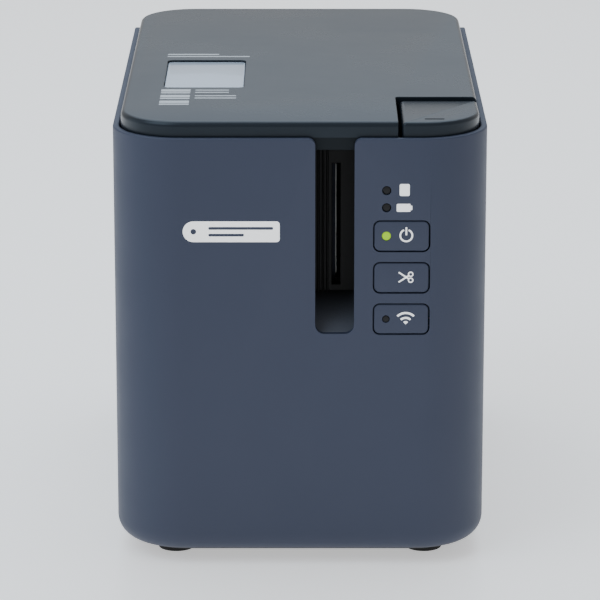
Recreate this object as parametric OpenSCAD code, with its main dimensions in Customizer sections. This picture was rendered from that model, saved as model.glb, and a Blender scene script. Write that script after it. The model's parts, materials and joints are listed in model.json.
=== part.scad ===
// Desktop label maker: an upright printer that takes a cassette of label tape from above and
// feeds the label out through a tall slot in its front.
// Millimetres, +Z up. The origin is the middle of the box that the printer fills, on the surface
// that it stands on. The front looks along -Y. Modules place their pieces with from_front(),
// whose y is the distance behind the front face, and from_tray(), whose z is the height above
// the underside of the cassette tray.

/* [Body] */
// Width across the side walls
body_w = 119.2; // [112:0.1:145]
// Depth from the front face to the back of the rear cover
body_d = 192; // [188:1:235]
// Height from the surface to the top of the lid
body_h = 146; // [142:1:180]
// Radius of the upright corners
corner_r = 22; // [16:1:26]
// Radius along the bottom edge of the housing
bottom_r = 6; // [3:0.5:8]
// Thickness of the housing wall
wall = 2.2; // [1.8:0.1:2.8]
// Height of the housing's lower edge above the surface
base_gap = 4; // [3:0.5:6]
// Height of the rubber feet
foot_h = 2; // [1:0.5:2.5]
// Radius of the rubber feet
foot_r = 6; // [4:0.5:8]

/* [Lid] */
// How far the lid stands above the housing rim
lid_rise = 4.8; // [4:0.2:7]
// Thickness of the lid plate and its skirt
lid_t = 2.2; // [1.8:0.1:2.6]
// Gap between the lid and what it closes on
lid_gap = 0.4; // [0.3:0.05:0.6]
// Width of the window in the lid
window_w = 26.3; // [18:0.1:34]
// Length of the window in the lid
window_l = 43.6; // [30:0.1:56]
// Radius of the hinge pins
pin_r = 2; // [1.5:0.1:2.4]

/* [Release button] */
// Width of the release button
release_w = 25; // [20:0.1:30]
// Length of the release button
release_l = 36; // [30:0.5:44]
// Travel of the release button
release_travel = 2; // [1:0.1:3]

/* [Label slot] */
// Width of the label slot
slot_w = 12.3; // [10:0.1:15]
// Distance of the slot's middle from the middle of the front
slot_x = 10.95; // [9:0.05:12]
// Height from the slot's lower end to the housing rim
slot_h = 63.4; // [58:0.1:70]

/* [Front buttons] */
// Width of a front button
key_w = 17.3; // [12:0.1:21]
// Height of a front button
key_h = 9.65; // [8:0.05:10.5]
// Distance from one front button to the next
key_pitch = 13.55; // [13.5:0.05:16]
// Travel of a front button
key_travel = 0.8; // [0.4:0.1:1]
// Gap round a front button
key_gap = 0.35; // [0.25:0.05:0.5]

/* [Tape and feed] */
// Width of the widest label tape
tape_w = 36; // [30:1:38]
// Height of the tape cassette
cassette_h = 46; // [44:0.5:47]
// Radius of the platen roller
platen_r = 5; // [4:0.1:6]
// Radius of the pinch roller
pinch_r = 4; // [3:0.1:4.8]
// Size of the gear teeth, as pitch diameter over number of teeth
gear_module = 0.6; // [0.5:0.02:0.72]
// Clearance of a shaft in its bore
running_gap = 0.05; // [0.02:0.01:0.09]

/* [Hidden] */
$fn = 48;

// Finishes
slate = [0.29, 0.32, 0.38];
lid_grey = [0.43, 0.47, 0.52];
dark = [0.13, 0.14, 0.16];
steel_grey = [0.72, 0.73, 0.75];
board_green = [0.1, 0.33, 0.2];
natural = [0.86, 0.86, 0.82];

// Levels, from the surface upwards
rim_z = body_h - lid_rise;
lid_under_z = body_h - lid_t;
floor_z = base_gap + wall;
plate_top_z = floor_z + 2;
tray_z = body_h - 64;
deck_z = tray_z + 51.2;
deck_t = 1.6;
rear_deck_z = deck_z - 14.8;
rear_top_z = rear_deck_z + 6;
skirt_z = rim_z - 4.2;
rear_skirt_z = rear_top_z + 1.8;

// Outlines seen from above, y measured back from the front face
inner_x = body_w / 2 - wall;
lid_x = inner_x - lid_gap;
lid_front = wall + lid_gap;
lid_back = body_d - 0.5;
lid_corner_r = corner_r - wall - lid_gap;
shell_back = body_d - 12.6;
lip = 8;
screw_rows = [40, 150];

// Hinge and latch
hinge_y = body_d - 9;
hinge_z = body_h - 8;
ear_r = 4.5;
ear_t = 4;
ear_x = inner_x - 18.8;
arm_gap = 0.4;
arm_t = 3;
hinge_clear = 17;
notch_gap = 1.2;
release_x = lid_x - release_w;
stem = 8;
stem_x = release_x + release_w / 2 + 1;
stem_y = 20;
stem_z = deck_z - 5;
latch_z = stem_z - 4 - release_travel;

catch_x = release_x - notch_gap - lid_t - 3.6;
catch_w = 3.4;
catch_y = 38;
deck_back = body_d - 42;
window_x = -31.45;
window_y = 76.3;

// Front panel
key_x = 32;
mid_key_z = tray_z + 14.2;
status_rise = [14.8, 9.25];
led_x = 27.2;
led_r = 1.35;
small_led_r = 1.1;
led_play = 0.05;
flange_t = 1;
flange_over = 1.3;
board_y = wall + 7.3;
board_t = 1.6;

// Feed train and cutter
mesh_gap = 0.05;
gear_t = 5;
gear_z = -10;
tape_t = 0.2;
tape_x = slot_x + 0.5;
head_gap = 0.05;
platen_x = tape_x + tape_t + head_gap + platen_r;
platen_y = 54;
pinch_x = tape_x + tape_t + head_gap + pinch_r + 0.2;
pinch_y = platen_y - platen_r - pinch_r - 1.5;
idler_teeth = 36;
platen_teeth = 18;
pinion_teeth = 14;
ribbon_teeth = 20;
idler_x = platen_x - spacing(idler_teeth, platen_teeth);
ribbon_angle = 160;
ribbon_x = idler_x + spacing(idler_teeth, ribbon_teeth) * cos(ribbon_angle);
ribbon_y = platen_y + spacing(idler_teeth, ribbon_teeth) * sin(ribbon_angle);
motor_y = platen_y + spacing(idler_teeth, pinion_teeth);
shaft_r = 1.5;
motor_shaft_r = 1;
motor_r = 14;
holder_x = 26;
holder_y = 84;
swing_room = 3.2;
tape_z = 4 + (cassette_h - tape_w) / 2;
cutter_y = 27;
blade_x = tape_x + 1.5;
blade_z = -1;
blade_lean = 18;
cam_x = blade_x + 18;
cam_z = blade_z - 9;
cam_teeth = 36;
crank_r = 5;
crank_pin_r = 1.2;
crank_play = 0.25;
cutter_angle = -20;
cutter_motor_r = 9;
cutter_x = cam_x + spacing(cam_teeth, pinion_teeth) * cos(cutter_angle);
cutter_z = cam_z + spacing(cam_teeth, pinion_teeth) * sin(cutter_angle);
chute_wall = 1.2;
chute_back = 20;

// Sockets on the main board: low x, high x, height
board_top = plate_top_z + 9.4;
port_gap = 0.2;
port_back = lid_back - 1;
dc = [-42, -33, 11];
usb_b = [-28, -16, 11];
usb_a = [-12, 1, 6];
lan = [6, 22, 13.5];
serial = [26, 39, 12.5];
ports = [dc, usb_b, usb_a, lan, serial];

// Cassette
case_t = 1.2;
case_left = -52;
case_right = 4;
case_front = 46;
case_back = 138;
case_step = 66;
case_side = slot_x + 9;
label_t = 0.2;

function spacing(a, b) = gear_module * (a + b) / 2 + mesh_gap;
function arc(cx, cy, r, a0, a1, n = 14) =
    [for (i = [0:n]) let (a = a0 + (a1 - a0) * i / n) [cx + r * cos(a), cy + r * sin(a)]];

// U-shaped outline, round at the front and square at the back
function u_plan(x, front, back, r) = concat(
    [[-x, back]], arc(-x + r, front + r, r, 180, 270), arc(x - r, front + r, r, 270, 360),
    [[x, back]]);

// Height of one of the three front buttons, counted downwards from the middle one
function key_at(i) = mid_key_z - i * key_pitch;

// Outline with all four corners round
function round_plan(x0, x1, y0, y1, r, n = 14) = concat(
    arc(x0 + r, y0 + r, r, 180, 270, n), arc(x1 - r, y0 + r, r, 270, 360, n),
    arc(x1 - r, y1 - r, r, 0, 90, n), arc(x0 + r, y1 - r, r, 90, 180, n));

module from_front() translate([0, -body_d / 2, 0]) children();
module from_tray() translate([0, -body_d / 2, tray_z]) children();
module prism(z0, z1, points) translate([0, 0, z0]) linear_extrude(z1 - z0) polygon(points);
// A flat shape drawn in x and z, from y0 back to y1
module slab(y0, y1) translate([0, y1, 0]) rotate([90, 0, 0]) linear_extrude(y1 - y0) children();
// A flat shape drawn in y and z, from x0 to x1
module cheek(x0, x1) translate([x0, 0, 0]) rotate([90, 0, 90]) linear_extrude(x1 - x0) children();
module block(x0, x1, y0, y1, z0, z1) translate([x0, y0, z0]) cube([x1 - x0, y1 - y0, z1 - z0]);
module rod(x, y, z0, z1, r) translate([x, y, z0]) cylinder(h = z1 - z0, r = r);
module rod_y(x, z, y0, y1, r) slab(y0, y1) translate([x, z]) circle(r);

// Lid outline, inset by d
module lid_prism(d, z0, z1, back = 0)
    prism(z0, z1, round_plan(-lid_x + d, lid_x - d, lid_front + d, lid_back - d - back,
        lid_corner_r - d));
// The front right corner that the release button fills, grown by g
module corner_cut(g, z0, z1)
    block(release_x - notch_gap - g, body_w, -1, lid_front + release_l + notch_gap + g, z0, z1);

module main_housing() color(slate) from_front() difference() {
    steps = 6;
    // The wall's inner corner is square, so the rounding outside it is at most what the wall covers
    r = min(bottom_r, 3.2 * wall);
    hull() {
        for (i = [0:steps]) let (a = 90 * i / steps, d = r * (1 - sin(a)), z = base_gap + r * (1 - cos(a)))
            prism(z, z + 0.01, u_plan(body_w / 2 - d, d, shell_back, corner_r - d));
        prism(rim_z - 0.01, rim_z, u_plan(body_w / 2, 0, shell_back, corner_r));
    }
    prism(floor_z, rim_z + 1, u_plan(inner_x, wall, body_d, corner_r - wall));
    prism(0, floor_z + 1, u_plan(inner_x - lip, wall + lip, body_d, corner_r - wall - lip));
    slot_opening();
    for (i = [-1:1]) key_prism(i, key_gap, -1, wall + 1);
    for (z = status_rise) rod_y(led_x, key_at(-1) + z, -1, wall + 1, led_r + led_play);
}

module slot_opening()
    slab(-1, wall + 1) translate([slot_x, rim_z]) polygon(concat(
        arc(-slot_w / 2 + 3, -slot_h + 3, 3, 180, 270, 8), arc(slot_w / 2 - 3, -slot_h + 3, 3, 270, 360, 8),
        [[slot_w / 2, 1], [-slot_w / 2, 1]]));

// A front button's outline, one of three counted from the middle one
module key_prism(i, grow, y0, y1)
    slab(y0, y1) translate([key_x, key_at(i)])
        polygon(round_plan(-key_w / 2 - grow, key_w / 2 + grow, -key_h / 2 - grow,
            key_h / 2 + grow, 1.9 + grow, 6));

// The part that lies inside the housing's outline inset by d
module inside(d) intersection() {
    union() children();
    prism(0, body_h, u_plan(body_w / 2 - d, d, shell_back, corner_r - d));
}

module key(i) difference() {
    back = wall + 0.3 + flange_t;
    union() {
        inside(0.1) key_prism(i, 0, 0, back);
        inside(wall + 0.3) key_prism(i, flange_over, wall, back);
        rod_y(key_x, key_at(i), back, board_y - 4.1 - key_travel - 0.3, 2.4);
    }
    children();
}

module power_button() color(slate) from_front()
    key(-1) rod_y(led_x, key_at(-1), -1, board_y, led_r + led_play);
module cut_button() color(slate) from_front() key(0);
module wifi_button() color(slate) from_front()
    key(1) rod_y(led_x, key_at(1), -1, board_y, small_led_r + led_play);

module power_lens() color([0.78, 0.92, 0.13]) from_front()
    rod_y(led_x, key_at(-1), 0.3, wall + 0.3 + flange_t, led_r + led_play);
module wifi_lens() color(dark) from_front()
    rod_y(led_x, key_at(1), 0.3, wall + 0.3 + flange_t, small_led_r + led_play);
module status_lenses() color(dark) from_front()
    for (z = status_rise) rod_y(led_x, key_at(-1) + z, 0.5, wall + 0.6, led_r + led_play);

module panel_board() color(board_green) from_front() {
    block(led_x - 5, key_x + 16, board_y, board_y + board_t, key_at(1) - 6.8, key_at(-1) + 19);
    for (z = [key_at(-1) + status_rise[0], key_at(-1) + status_rise[1], key_at(-1), key_at(1)])
        block(led_x - 0.8, led_x + 0.8, board_y - 0.8, board_y, z - 0.8, z + 0.8);
}

module tact_switches() color(dark) from_front()
    for (i = [-1:1]) let (z = key_at(i)) {
        block(key_x - 3, key_x + 3, board_y - 3.5, board_y, z - 3, z + 3);
        rod_y(key_x, z, board_y - 4.1, board_y - 3.5, 1.7);
    }

module rear_cover() color(dark) from_front() difference() {
    lid_prism(0, plate_top_z, rear_top_z);
    lid_prism(wall - 0.2, plate_top_z - 1, rear_top_z + 1);
    block(-body_w, body_w, -1, shell_back - 22, 0, body_h);
    port_cuts();
    for (i = [0:8], s = [-1, 1])
        block(s * 26 - 14, s * 26 + 14, lid_back - 5, lid_back + 1,
            rear_top_z - 14 - i * 4, rear_top_z - 12.2 - i * 4);
}

module port_cuts()
    for (p = ports) block(p[0] - port_gap, p[1] + port_gap, lid_back - 6, body_d,
        board_top - port_gap, board_top + p[2] + port_gap);

module base_plate() color(dark) from_front() difference() {
    union() {
        lid_prism(0.2, floor_z, plate_top_z);
        prism(foot_h, floor_z, round_plan(-inner_x + lip + 0.4, inner_x - lip - 0.4,
            wall + lip + 0.4, body_d - lip, corner_r - wall - lip - 0.4));
        for (x = [-30, 30], y = [70, 170]) rod(x, y, plate_top_z, plate_top_z + 7.8, 3);
    }
    block(-20, 20, 88, 132, foot_h - 1, foot_h + 1.6);
    for (x = [-40, 40], y = screw_rows) rod(x, y, foot_h - 1, foot_h + 2.5, 3.4);
}

module terminal_cover() color(dark) from_front() {
    block(-19.7, 19.7, 88.3, 131.7, foot_h, foot_h + 1.6);
    for (i = [-2:2]) block(-8, 8, 108.6 + i * 3, 109.8 + i * 3, foot_h - 0.4, foot_h);
}

module feet() color([0.08, 0.08, 0.09]) from_front()
    for (x = [-1, 1], y = [wall + lip + foot_r + 3, body_d - lip - foot_r - 3])
        rod(x * (inner_x - lip - foot_r - 3), y, 0, foot_h, foot_r);

module screw_head(r, h, slot_depth) difference() {
    cylinder(h = h, r = r);
    for (a = [0, 90]) rotate([0, 0, a])
        translate([-r * 0.6, -0.35, -1]) cube([r * 1.2, 0.7, slot_depth + 1]);
}

module base_screws() color(steel_grey) from_front()
    for (x = [-40, 40], y = screw_rows) translate([x, y, foot_h + 0.5]) screw_head(3, 2, 0.9);

module rear_screws() color(steel_grey) from_front()
    for (x = [-1, 1], z = [plate_top_z + 50, rear_top_z - 5.5])
        let (sx = x * (lid_x - lid_corner_r - 2)) difference() {
            rod_y(sx, z, lid_back, body_d, 2.4);
            block(sx - 1.4, sx + 1.4, lid_back + 0.2, body_d + 1, z - 0.3, z + 0.3);
        }

module top_cover() color(lid_grey) from_front() difference() {
    union() {
        difference() {
            union() {
                lid_prism(0, skirt_z, body_h);
                difference() {
                    lid_prism(0, rear_skirt_z, skirt_z);
                    block(-body_w, body_w, -1, body_d - 27, 0, body_h);
                }
            }
            lid_prism(lid_t, rear_skirt_z - 1, lid_under_z);
            corner_cut(0, skirt_z - 1, body_h + 1);
        }
        block(release_x - notch_gap - lid_t, release_x - notch_gap, lid_front + lid_t / 2,
            lid_front + release_l + notch_gap + lid_t, skirt_z, lid_under_z);
        block(release_x - notch_gap - lid_t, lid_x - lid_t / 2,
            lid_front + release_l + notch_gap, lid_front + release_l + notch_gap + lid_t,
            skirt_z, lid_under_z);
        for (s = [-1, 1]) mirror([s < 0 ? 1 : 0, 0, 0])
            cheek(ear_x + ear_t + arm_gap, ear_x + ear_t + arm_gap + arm_t) {
                translate([hinge_y, hinge_z]) circle(r = ear_r);
                translate([hinge_y - ear_r, hinge_z])
                    square([2 * ear_r, lid_under_z - hinge_z]);
            }
    }
    prism(lid_under_z - 1, body_h + 1, window_plan(0, 2));
    for (s = [-1, 1]) mirror([s < 0 ? 1 : 0, 0, 0])
        cheek(ear_x - 0.5, ear_x + ear_t + arm_gap + arm_t)
            translate([hinge_y, hinge_z]) circle(r = pin_r);
}

// Outline of the lid's window, grown by g
function window_plan(g, r) = round_plan(window_x - window_w / 2 - g, window_x + window_w / 2 + g,
    window_y - window_l / 2 - g, window_y + window_l / 2 + g, r, 6);

module cover_window() color([0.75, 0.79, 0.82, 0.5]) from_front() {
    prism(lid_under_z - 0.8, lid_under_z, window_plan(2, 3));
    prism(lid_under_z - 0.1, body_h - 0.7, window_plan(-0.1, 1.9));
}

module cover_catch() color(dark) from_front() {
    block(catch_x, catch_x + catch_w, catch_y - 2, catch_y, latch_z, lid_under_z);
    block(catch_x, catch_x + catch_w, catch_y - 0.1, catch_y + 1.7, latch_z, latch_z + 2.5);
}

module hinge_pins() color(steel_grey) from_front()
    for (s = [-1, 1]) mirror([s < 0 ? 1 : 0, 0, 0])
        cheek(ear_x - 0.5, ear_x + ear_t + arm_gap + arm_t)
            translate([hinge_y, hinge_z]) circle(r = pin_r);

module release_button() color(lid_grey) from_front() {
    difference() {
        intersection() {
            lid_prism(0, skirt_z + 0.4, body_h - 0.5);
            block(release_x, body_w, -1, lid_front + release_l, 0, body_h);
        }
        intersection() {
            lid_prism(2, 0, body_h - 2.5);
            block(release_x + 2, body_w, -1, lid_front + release_l - 2, 0, body_h);
        }
    }
    cheek(stem_x - stem / 2, stem_x + stem / 2) polygon([[stem_y - stem / 2, body_h - 2.4],
        [stem_y - stem / 2, stem_z], [stem_y + 1, stem_z],
        [stem_y + stem / 2, stem_z + stem / 2 - 1], [stem_y + stem / 2, body_h - 2.4]]);
}

module release_spring() color(steel_grey) from_front() {
    turns = 4;
    wire = 0.45;
    low = deck_z + deck_t + wire;
    rise = body_h - 2.5 - wire - low;
    rings = turns * 14;
    sides = 8;
    points = [for (i = [0:rings], j = [0:sides - 1])
        let (a = 360 * turns * i / rings, b = 360 * j / sides, r = 6.6 + wire * cos(b))
        [stem_x + r * cos(a), stem_y + r * sin(a), low + rise * i / rings + wire * sin(b)]];
    polyhedron(points, concat(
        [for (i = [0:rings - 1], j = [0:sides - 1]) let (k = (j + 1) % sides)
            [i * sides + j, (i + 1) * sides + j, (i + 1) * sides + k, i * sides + k]],
        [[for (j = [0:sides - 1]) j]],
        [[for (j = [0:sides - 1]) rings * sides + sides - 1 - j]]));
}

// Slides back as the stem's 45 degree face comes down on it
module latch_slider() color(natural) from_front() {
    ramp = stem_y + 1 - stem_z + 0.42;
    cheek(stem_x - stem / 2, stem_x + stem / 2) polygon([[latch_z + ramp + 3.3, latch_z + 0.8],
        [catch_y - 2, latch_z + 0.8], [catch_y - 2, latch_z + 8.8],
        [latch_z + ramp + 8.8, latch_z + 8.8], [latch_z + ramp + 3.3, latch_z + 3.3]]);
    block(stem_x - stem / 2, stem_x + stem / 2, catch_y - 2.1, catch_y + 8, latch_z + 5,
        latch_z + 8);
    block(catch_x, stem_x, catch_y + 5, catch_y + 8, latch_z + 5, latch_z + 8);
    block(catch_x, catch_x + catch_w, catch_y + 2, catch_y + 5.1, latch_z + 5, latch_z + 8);
}

module hinge_brackets() color(natural) from_front()
    for (s = [-1, 1]) mirror([s < 0 ? 1 : 0, 0, 0]) difference() {
        cheek(ear_x, ear_x + ear_t) {
            translate([hinge_y, hinge_z]) circle(r = ear_r);
            polygon([[hinge_y, hinge_z + ear_r], [hinge_y - 32, hinge_z + ear_r],
                [hinge_y - 32, rear_deck_z + deck_t], [hinge_y - hinge_clear, rear_deck_z + deck_t],
                [hinge_y - hinge_clear, hinge_z - ear_r], [hinge_y, hinge_z - ear_r]]);
        }
        cheek(ear_x - 1, ear_x + ear_t + 1)
            translate([hinge_y, hinge_z]) circle(r = pin_r + running_gap);
    }

// Deck round the cassette bay, stepping down behind it to clear the hinge
module deck_cover() color(dark) from_front() difference() {
    union() {
        prism(deck_z, deck_z + deck_t, u_plan(lid_x, lid_front + 0.4, deck_back, lid_corner_r));
        block(-lid_x, lid_x, deck_back - 1.6, deck_back, rear_deck_z, deck_z + deck_t);
        difference() {
            lid_prism(2.6, rear_deck_z, rear_deck_z + deck_t);
            block(-body_w, body_w, -1, deck_back - 1, 0, body_h);
        }
        difference() {
            block(stem_x - 6, stem_x + 6, 26, 34, latch_z - 1.2, deck_z + 0.1);
            block(stem_x - stem / 2 - 0.3, stem_x + stem / 2 + 0.3, 25, 35, latch_z + 0.5,
                latch_z + 9.1);
        }
    }
    block(case_left - 1.5, holder_x + 5, case_front - 1.5, case_back + 1.5, deck_z - 1, body_h);
    block(4.6, catch_x - 1, 29.5, case_front, deck_z - 1, body_h);
    block(catch_x - 1.1, catch_x + catch_w + 0.6, catch_y - 5, catch_y + 2.6, deck_z - 1, body_h);
    block(stem_x - stem / 2 - 0.3, stem_x + stem / 2 + 0.3, stem_y - stem / 2 - 0.3,
        stem_y + stem / 2 + 0.3, deck_z - 1, body_h);
    block(slot_x - slot_w / 2 - 2.6, slot_x + slot_w / 2 + 2.6, -1, chute_back + 0.4, deck_z - 1,
        body_h);
}

module exit_chute() color([0.08, 0.08, 0.09]) from_front() difference() {
    half = slot_w / 2 + 0.9;
    low = rim_z - slot_h;
    top = deck_z + 2.6;
    union() {
        for (s = [-1, 1])
            block(slot_x + s * (half + chute_wall / 2) - chute_wall / 2,
                slot_x + s * (half + chute_wall / 2) + chute_wall / 2,
                wall + 0.3, chute_back, low - 2, top);
        block(slot_x - half, slot_x + half, chute_back - chute_wall, chute_back, low - 2, top);
        difference() {
            block(slot_x - half - 2.6, slot_x + half + 2.6, 8, chute_back + 1.4, deck_z + deck_t,
                top);
            block(slot_x - half, slot_x + half, 0, chute_back, low, top + 1);
        }
        cheek(slot_x - half, slot_x + half) polygon([[wall + 0.3, low - 2], [chute_back, low - 2],
            [chute_back, low + 10], [wall + 0.3, low]]);
        for (i = [0:3]) block(slot_x - half + 0.4 + i * 1.4, slot_x - half + 0.9 + i * 1.4,
            chute_back - chute_wall - 0.6, chute_back, low, top);
    }
    block(tape_x - 1.2, tape_x + tape_t + 1.2, chute_back - 4, chute_back + 1,
        tray_z + tape_z - 2, tray_z + tape_z + tape_w + 2);
}

// Tray that carries the cassette, the feed train and the deck, on four posts
module chassis() color(natural) {
    from_tray() {
        difference() {
            union() {
                block(case_left - 3.5, 24, 40, 61, 0, 2.5);
                block(case_left - 3.5, body_w / 2 - 3.5, 60, case_back + 6, 0, 2.5);
            }
            for (p = [[platen_x, platen_y], [pinch_x, pinch_y]]) {
                rod(p[0], p[1], -1, 4, shaft_r + 1);
                rod(p[0] + swing_room, p[1] - 1, -1, 4, shaft_r + 1);
                block(p[0], p[0] + swing_room, p[1] - shaft_r - 2, p[1] + shaft_r + 1, -1, 4);
            }
            rod(ribbon_x, ribbon_y, -1, 4, 2.4 + running_gap);
        }
        block(case_left - 3.5, case_left - 1.9, 40, case_back + 6, 2, 51.2);
        block(case_left - 3.5, holder_x + 7.6, case_back + 2, case_back + 3.6, 2, 51.2);
        block(holder_x + 6, holder_x + 7.6, 62, case_back + 3.6, 2, 51.2);
        rod(holder_x, holder_y, 2, 4.3, 4);
        rod(holder_x, holder_y, 2, 50, 2);
    }
    from_front() for (x = [case_left + 3.4, body_w / 2 - 11], y = [70, case_back])
        rod(x, y, plate_top_z, tray_z + 0.5, 3.5);
}

// Outline of the tape cassette, inset by d
function cassette_plan(d) = [[case_left + d, case_front + d], [case_right - d, case_front + d],
    [case_right - d, case_step + d], [case_side - d, case_step + d], [case_side - d, case_back - d],
    [case_left + d, case_back - d]];

module cassette_case_lower() color(dark) from_tray() difference() {
    prism(4, 4 + cassette_h / 2, cassette_plan(0));
    prism(4 + case_t, 4 + cassette_h, cassette_plan(case_t));
    block(tape_x - 1.3, tape_x + tape_t + 1.3, case_step - 1, case_step + 2, 7, 4 + cassette_h);
    rod(ribbon_x, ribbon_y, 3, 7, 3.4);
}

module cassette_case_upper() color(dark) from_tray() {
    difference() {
        prism(4 + cassette_h / 2, 4 + cassette_h, cassette_plan(0));
        prism(4, 4 + cassette_h - case_t, cassette_plan(case_t));
        block(tape_x - 1.3, tape_x + tape_t + 1.3, case_step - 1, case_step + 2, 0, cassette_h + 1);
    }
    for (i = [0:4]) block(case_side - 7, case_side - 2, case_step + 10 + i * 3,
        case_step + 11.2 + i * 3, 4 + cassette_h, 4.6 + cassette_h);
}

module cassette_label() color([0.93, 0.93, 0.9]) from_tray()
    block(case_left + 6, case_right - 8, case_front + 8, case_back - 12, 4 + cassette_h,
        4 + cassette_h + label_t);

module wound(x, y, r, bore, z0, z1) difference() {
    rod(x, y, z0, z1, r);
    rod(x, y, z0 - 1, z1 + 1, bore);
}

module tape_roll() color([0.92, 0.92, 0.9]) from_tray() {
    wound(-26, 105, 24, 8, tape_z, tape_z + tape_w);
    wound(-26, 105, 8, 6.4, 4 + case_t, 2.6 + cassette_h);
}

module ribbon_spool() color([0.1, 0.1, 0.12]) from_tray() {
    wound(-38, 60, 9, 4, tape_z, tape_z + tape_w);
    wound(-38, 60, 4, 2.6, 4 + case_t, 2.6 + cassette_h);
}

module take_up_spool() color([0.1, 0.1, 0.12]) from_tray()
    wound(ribbon_x, ribbon_y, 6.5, 2.4, tape_z, tape_z + tape_w);

module label_tape() color([0.95, 0.95, 0.93]) from_tray()
    block(tape_x, tape_x + tape_t, cutter_y - 1.3, case_back - 20, tape_z, tape_z + tape_w);

module head_heat_sink() color([0.8, 0.81, 0.82]) from_tray() {
    block(tape_x - 4.45, tape_x - 1.45, platen_y - 8, platen_y + 8, 2.5, tape_z + tape_w + 3);
    for (i = [0:8]) block(tape_x - 6.2, tape_x - 4.4, platen_y - 7, platen_y + 7,
        tape_z + 1 + i * 4, tape_z + 2 + i * 4);
}

module print_head() color(steel_grey) from_tray() {
    block(tape_x - 1.45, tape_x - 0.4, platen_y - 3, platen_y + 3, tape_z - 1, tape_z + tape_w + 1);
    block(tape_x - 0.5, tape_x - head_gap, platen_y - 0.6, platen_y + 0.6, tape_z,
        tape_z + tape_w);
}

// Frame that holds the two rollers and swings them off the tape as the lid opens
module roller_holder() color(natural) from_tray() difference() {
    outline = [[tape_x + 2.4, 38.5], [platen_x + 4.2, 38.5], [platen_x + 4.2, 57],
        [holder_x + 4, 70], [holder_x + 4, holder_y], [case_side + 2.2, holder_y],
        [case_side + 2.2, case_step], [tape_x + 2.4, platen_y + 6]];
    union() {
        prism(4.5, 7, outline);
        prism(cassette_h, cassette_h + 2.5, outline);
        rod(holder_x, holder_y, 4.5, cassette_h + 2.5, 4);
        block(holder_x - 1.5, holder_x + 1.5, 68, holder_y - 2, 4.5, cassette_h + 2.5);
    }
    rod(holder_x, holder_y, 0, cassette_h + 4, 2 + running_gap);
    for (p = [[platen_x, platen_y], [pinch_x, pinch_y]])
        rod(p[0], p[1], 0, cassette_h + 4, shaft_r + running_gap);
}

module platen_roller() color([0.12, 0.12, 0.13]) from_tray() {
    rod(platen_x, platen_y, tape_z - 1.2, tape_z + tape_w + 0.6, platen_r);
    rod(platen_x, platen_y, gear_z - 0.5, cassette_h + 3, shaft_r);
}

module pinch_roller() color([0.12, 0.12, 0.13]) from_tray() {
    for (i = [0:2]) rod(pinch_x, pinch_y, tape_z + 1 + i * 12, tape_z + 9 + i * 12, pinch_r);
    rod(pinch_x, pinch_y, 1, cassette_h + 3, shaft_r);
}

// Involute teeth, 20 degrees, cut short and thinned for backlash
function involute(rb, r) = r <= rb ? 0 : let (t = sqrt(pow(r / rb, 2) - 1)) t * 180 / PI - atan(t);
function tooth_half(n, r) = let (rp = gear_module * n / 2, rb = rp * cos(20))
    90 / n - 0.05 * 180 / PI / rp + involute(rb, rp) - involute(rb, r);
function gear_points(n, phase) = let (rp = gear_module * n / 2,
    radii = [rp - 1.05 * gear_module, rp * cos(20) + 0.02, rp, rp + 0.8 * gear_module]) [
    for (i = [0:n - 1], j = [0:7]) let (k = j < 4 ? j : 7 - j, side = j < 4 ? -1 : 1,
        a = phase + 360 * i / n + side * tooth_half(n, radii[k])) radii[k] * [cos(a), sin(a)]];
// Turns gear b so that its teeth fall between those of gear a, which has one at 0 degrees
function mesh_phase(alpha, na, nb) = alpha + 180 + (180 + alpha * na) / nb;

module gear(n, phase, bore, holes = 0) difference() {
    polygon(gear_points(n, phase));
    circle(bore);
    for (i = [0:holes - 1]) rotate(i * 360 / holes) translate([gear_module * n / 3.4, 0])
        circle(gear_module * n / 12);
}

module feed_gear(x, y, n, phase, bore, holes = 0) from_tray() translate([x, y, gear_z])
    linear_extrude(gear_t) gear(n, phase, bore, holes);

module idler_gear() color([0.9, 0.9, 0.86])
    feed_gear(idler_x, platen_y, idler_teeth, 0, shaft_r + running_gap, 6);
module platen_gear() color([0.9, 0.9, 0.86])
    feed_gear(platen_x, platen_y, platen_teeth, mesh_phase(0, idler_teeth, platen_teeth), shaft_r);
module ribbon_gear() color([0.9, 0.9, 0.86]) {
    feed_gear(ribbon_x, ribbon_y, ribbon_teeth,
        mesh_phase(ribbon_angle, idler_teeth, ribbon_teeth), 1);
    from_tray() rod(ribbon_x, ribbon_y, gear_z - 0.5, tape_z + tape_w - 2, 2.4);
}
module motor_pinion() color([0.8, 0.66, 0.32]) {
    feed_gear(idler_x, motor_y, pinion_teeth, mesh_phase(90, idler_teeth, pinion_teeth), 0.8);
    from_tray() rod(idler_x, motor_y, gear_z - 2.9, gear_z + gear_t + 0.6, motor_shaft_r);
}

module gear_plate() color(steel_grey) from_tray() difference() {
    union() {
        block(-26, 22, 38, 86, gear_z - 3, gear_z - 1.5);
        rod(idler_x, platen_y, gear_z - 2, -0.2, shaft_r);
        for (p = [[-22, 42.5], [-22, 82], [20, 82]]) rod(p[0], p[1], gear_z - 2, 0, 2);
    }
    rod(idler_x, motor_y, gear_z - 4, 0, 3);
}

module feed_motor() color(steel_grey) from_tray() {
    rod(idler_x, motor_y, gear_z - 36, gear_z - 3, motor_r);
    rod(idler_x, motor_y, gear_z - 38, gear_z - 36, 4);
}

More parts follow.
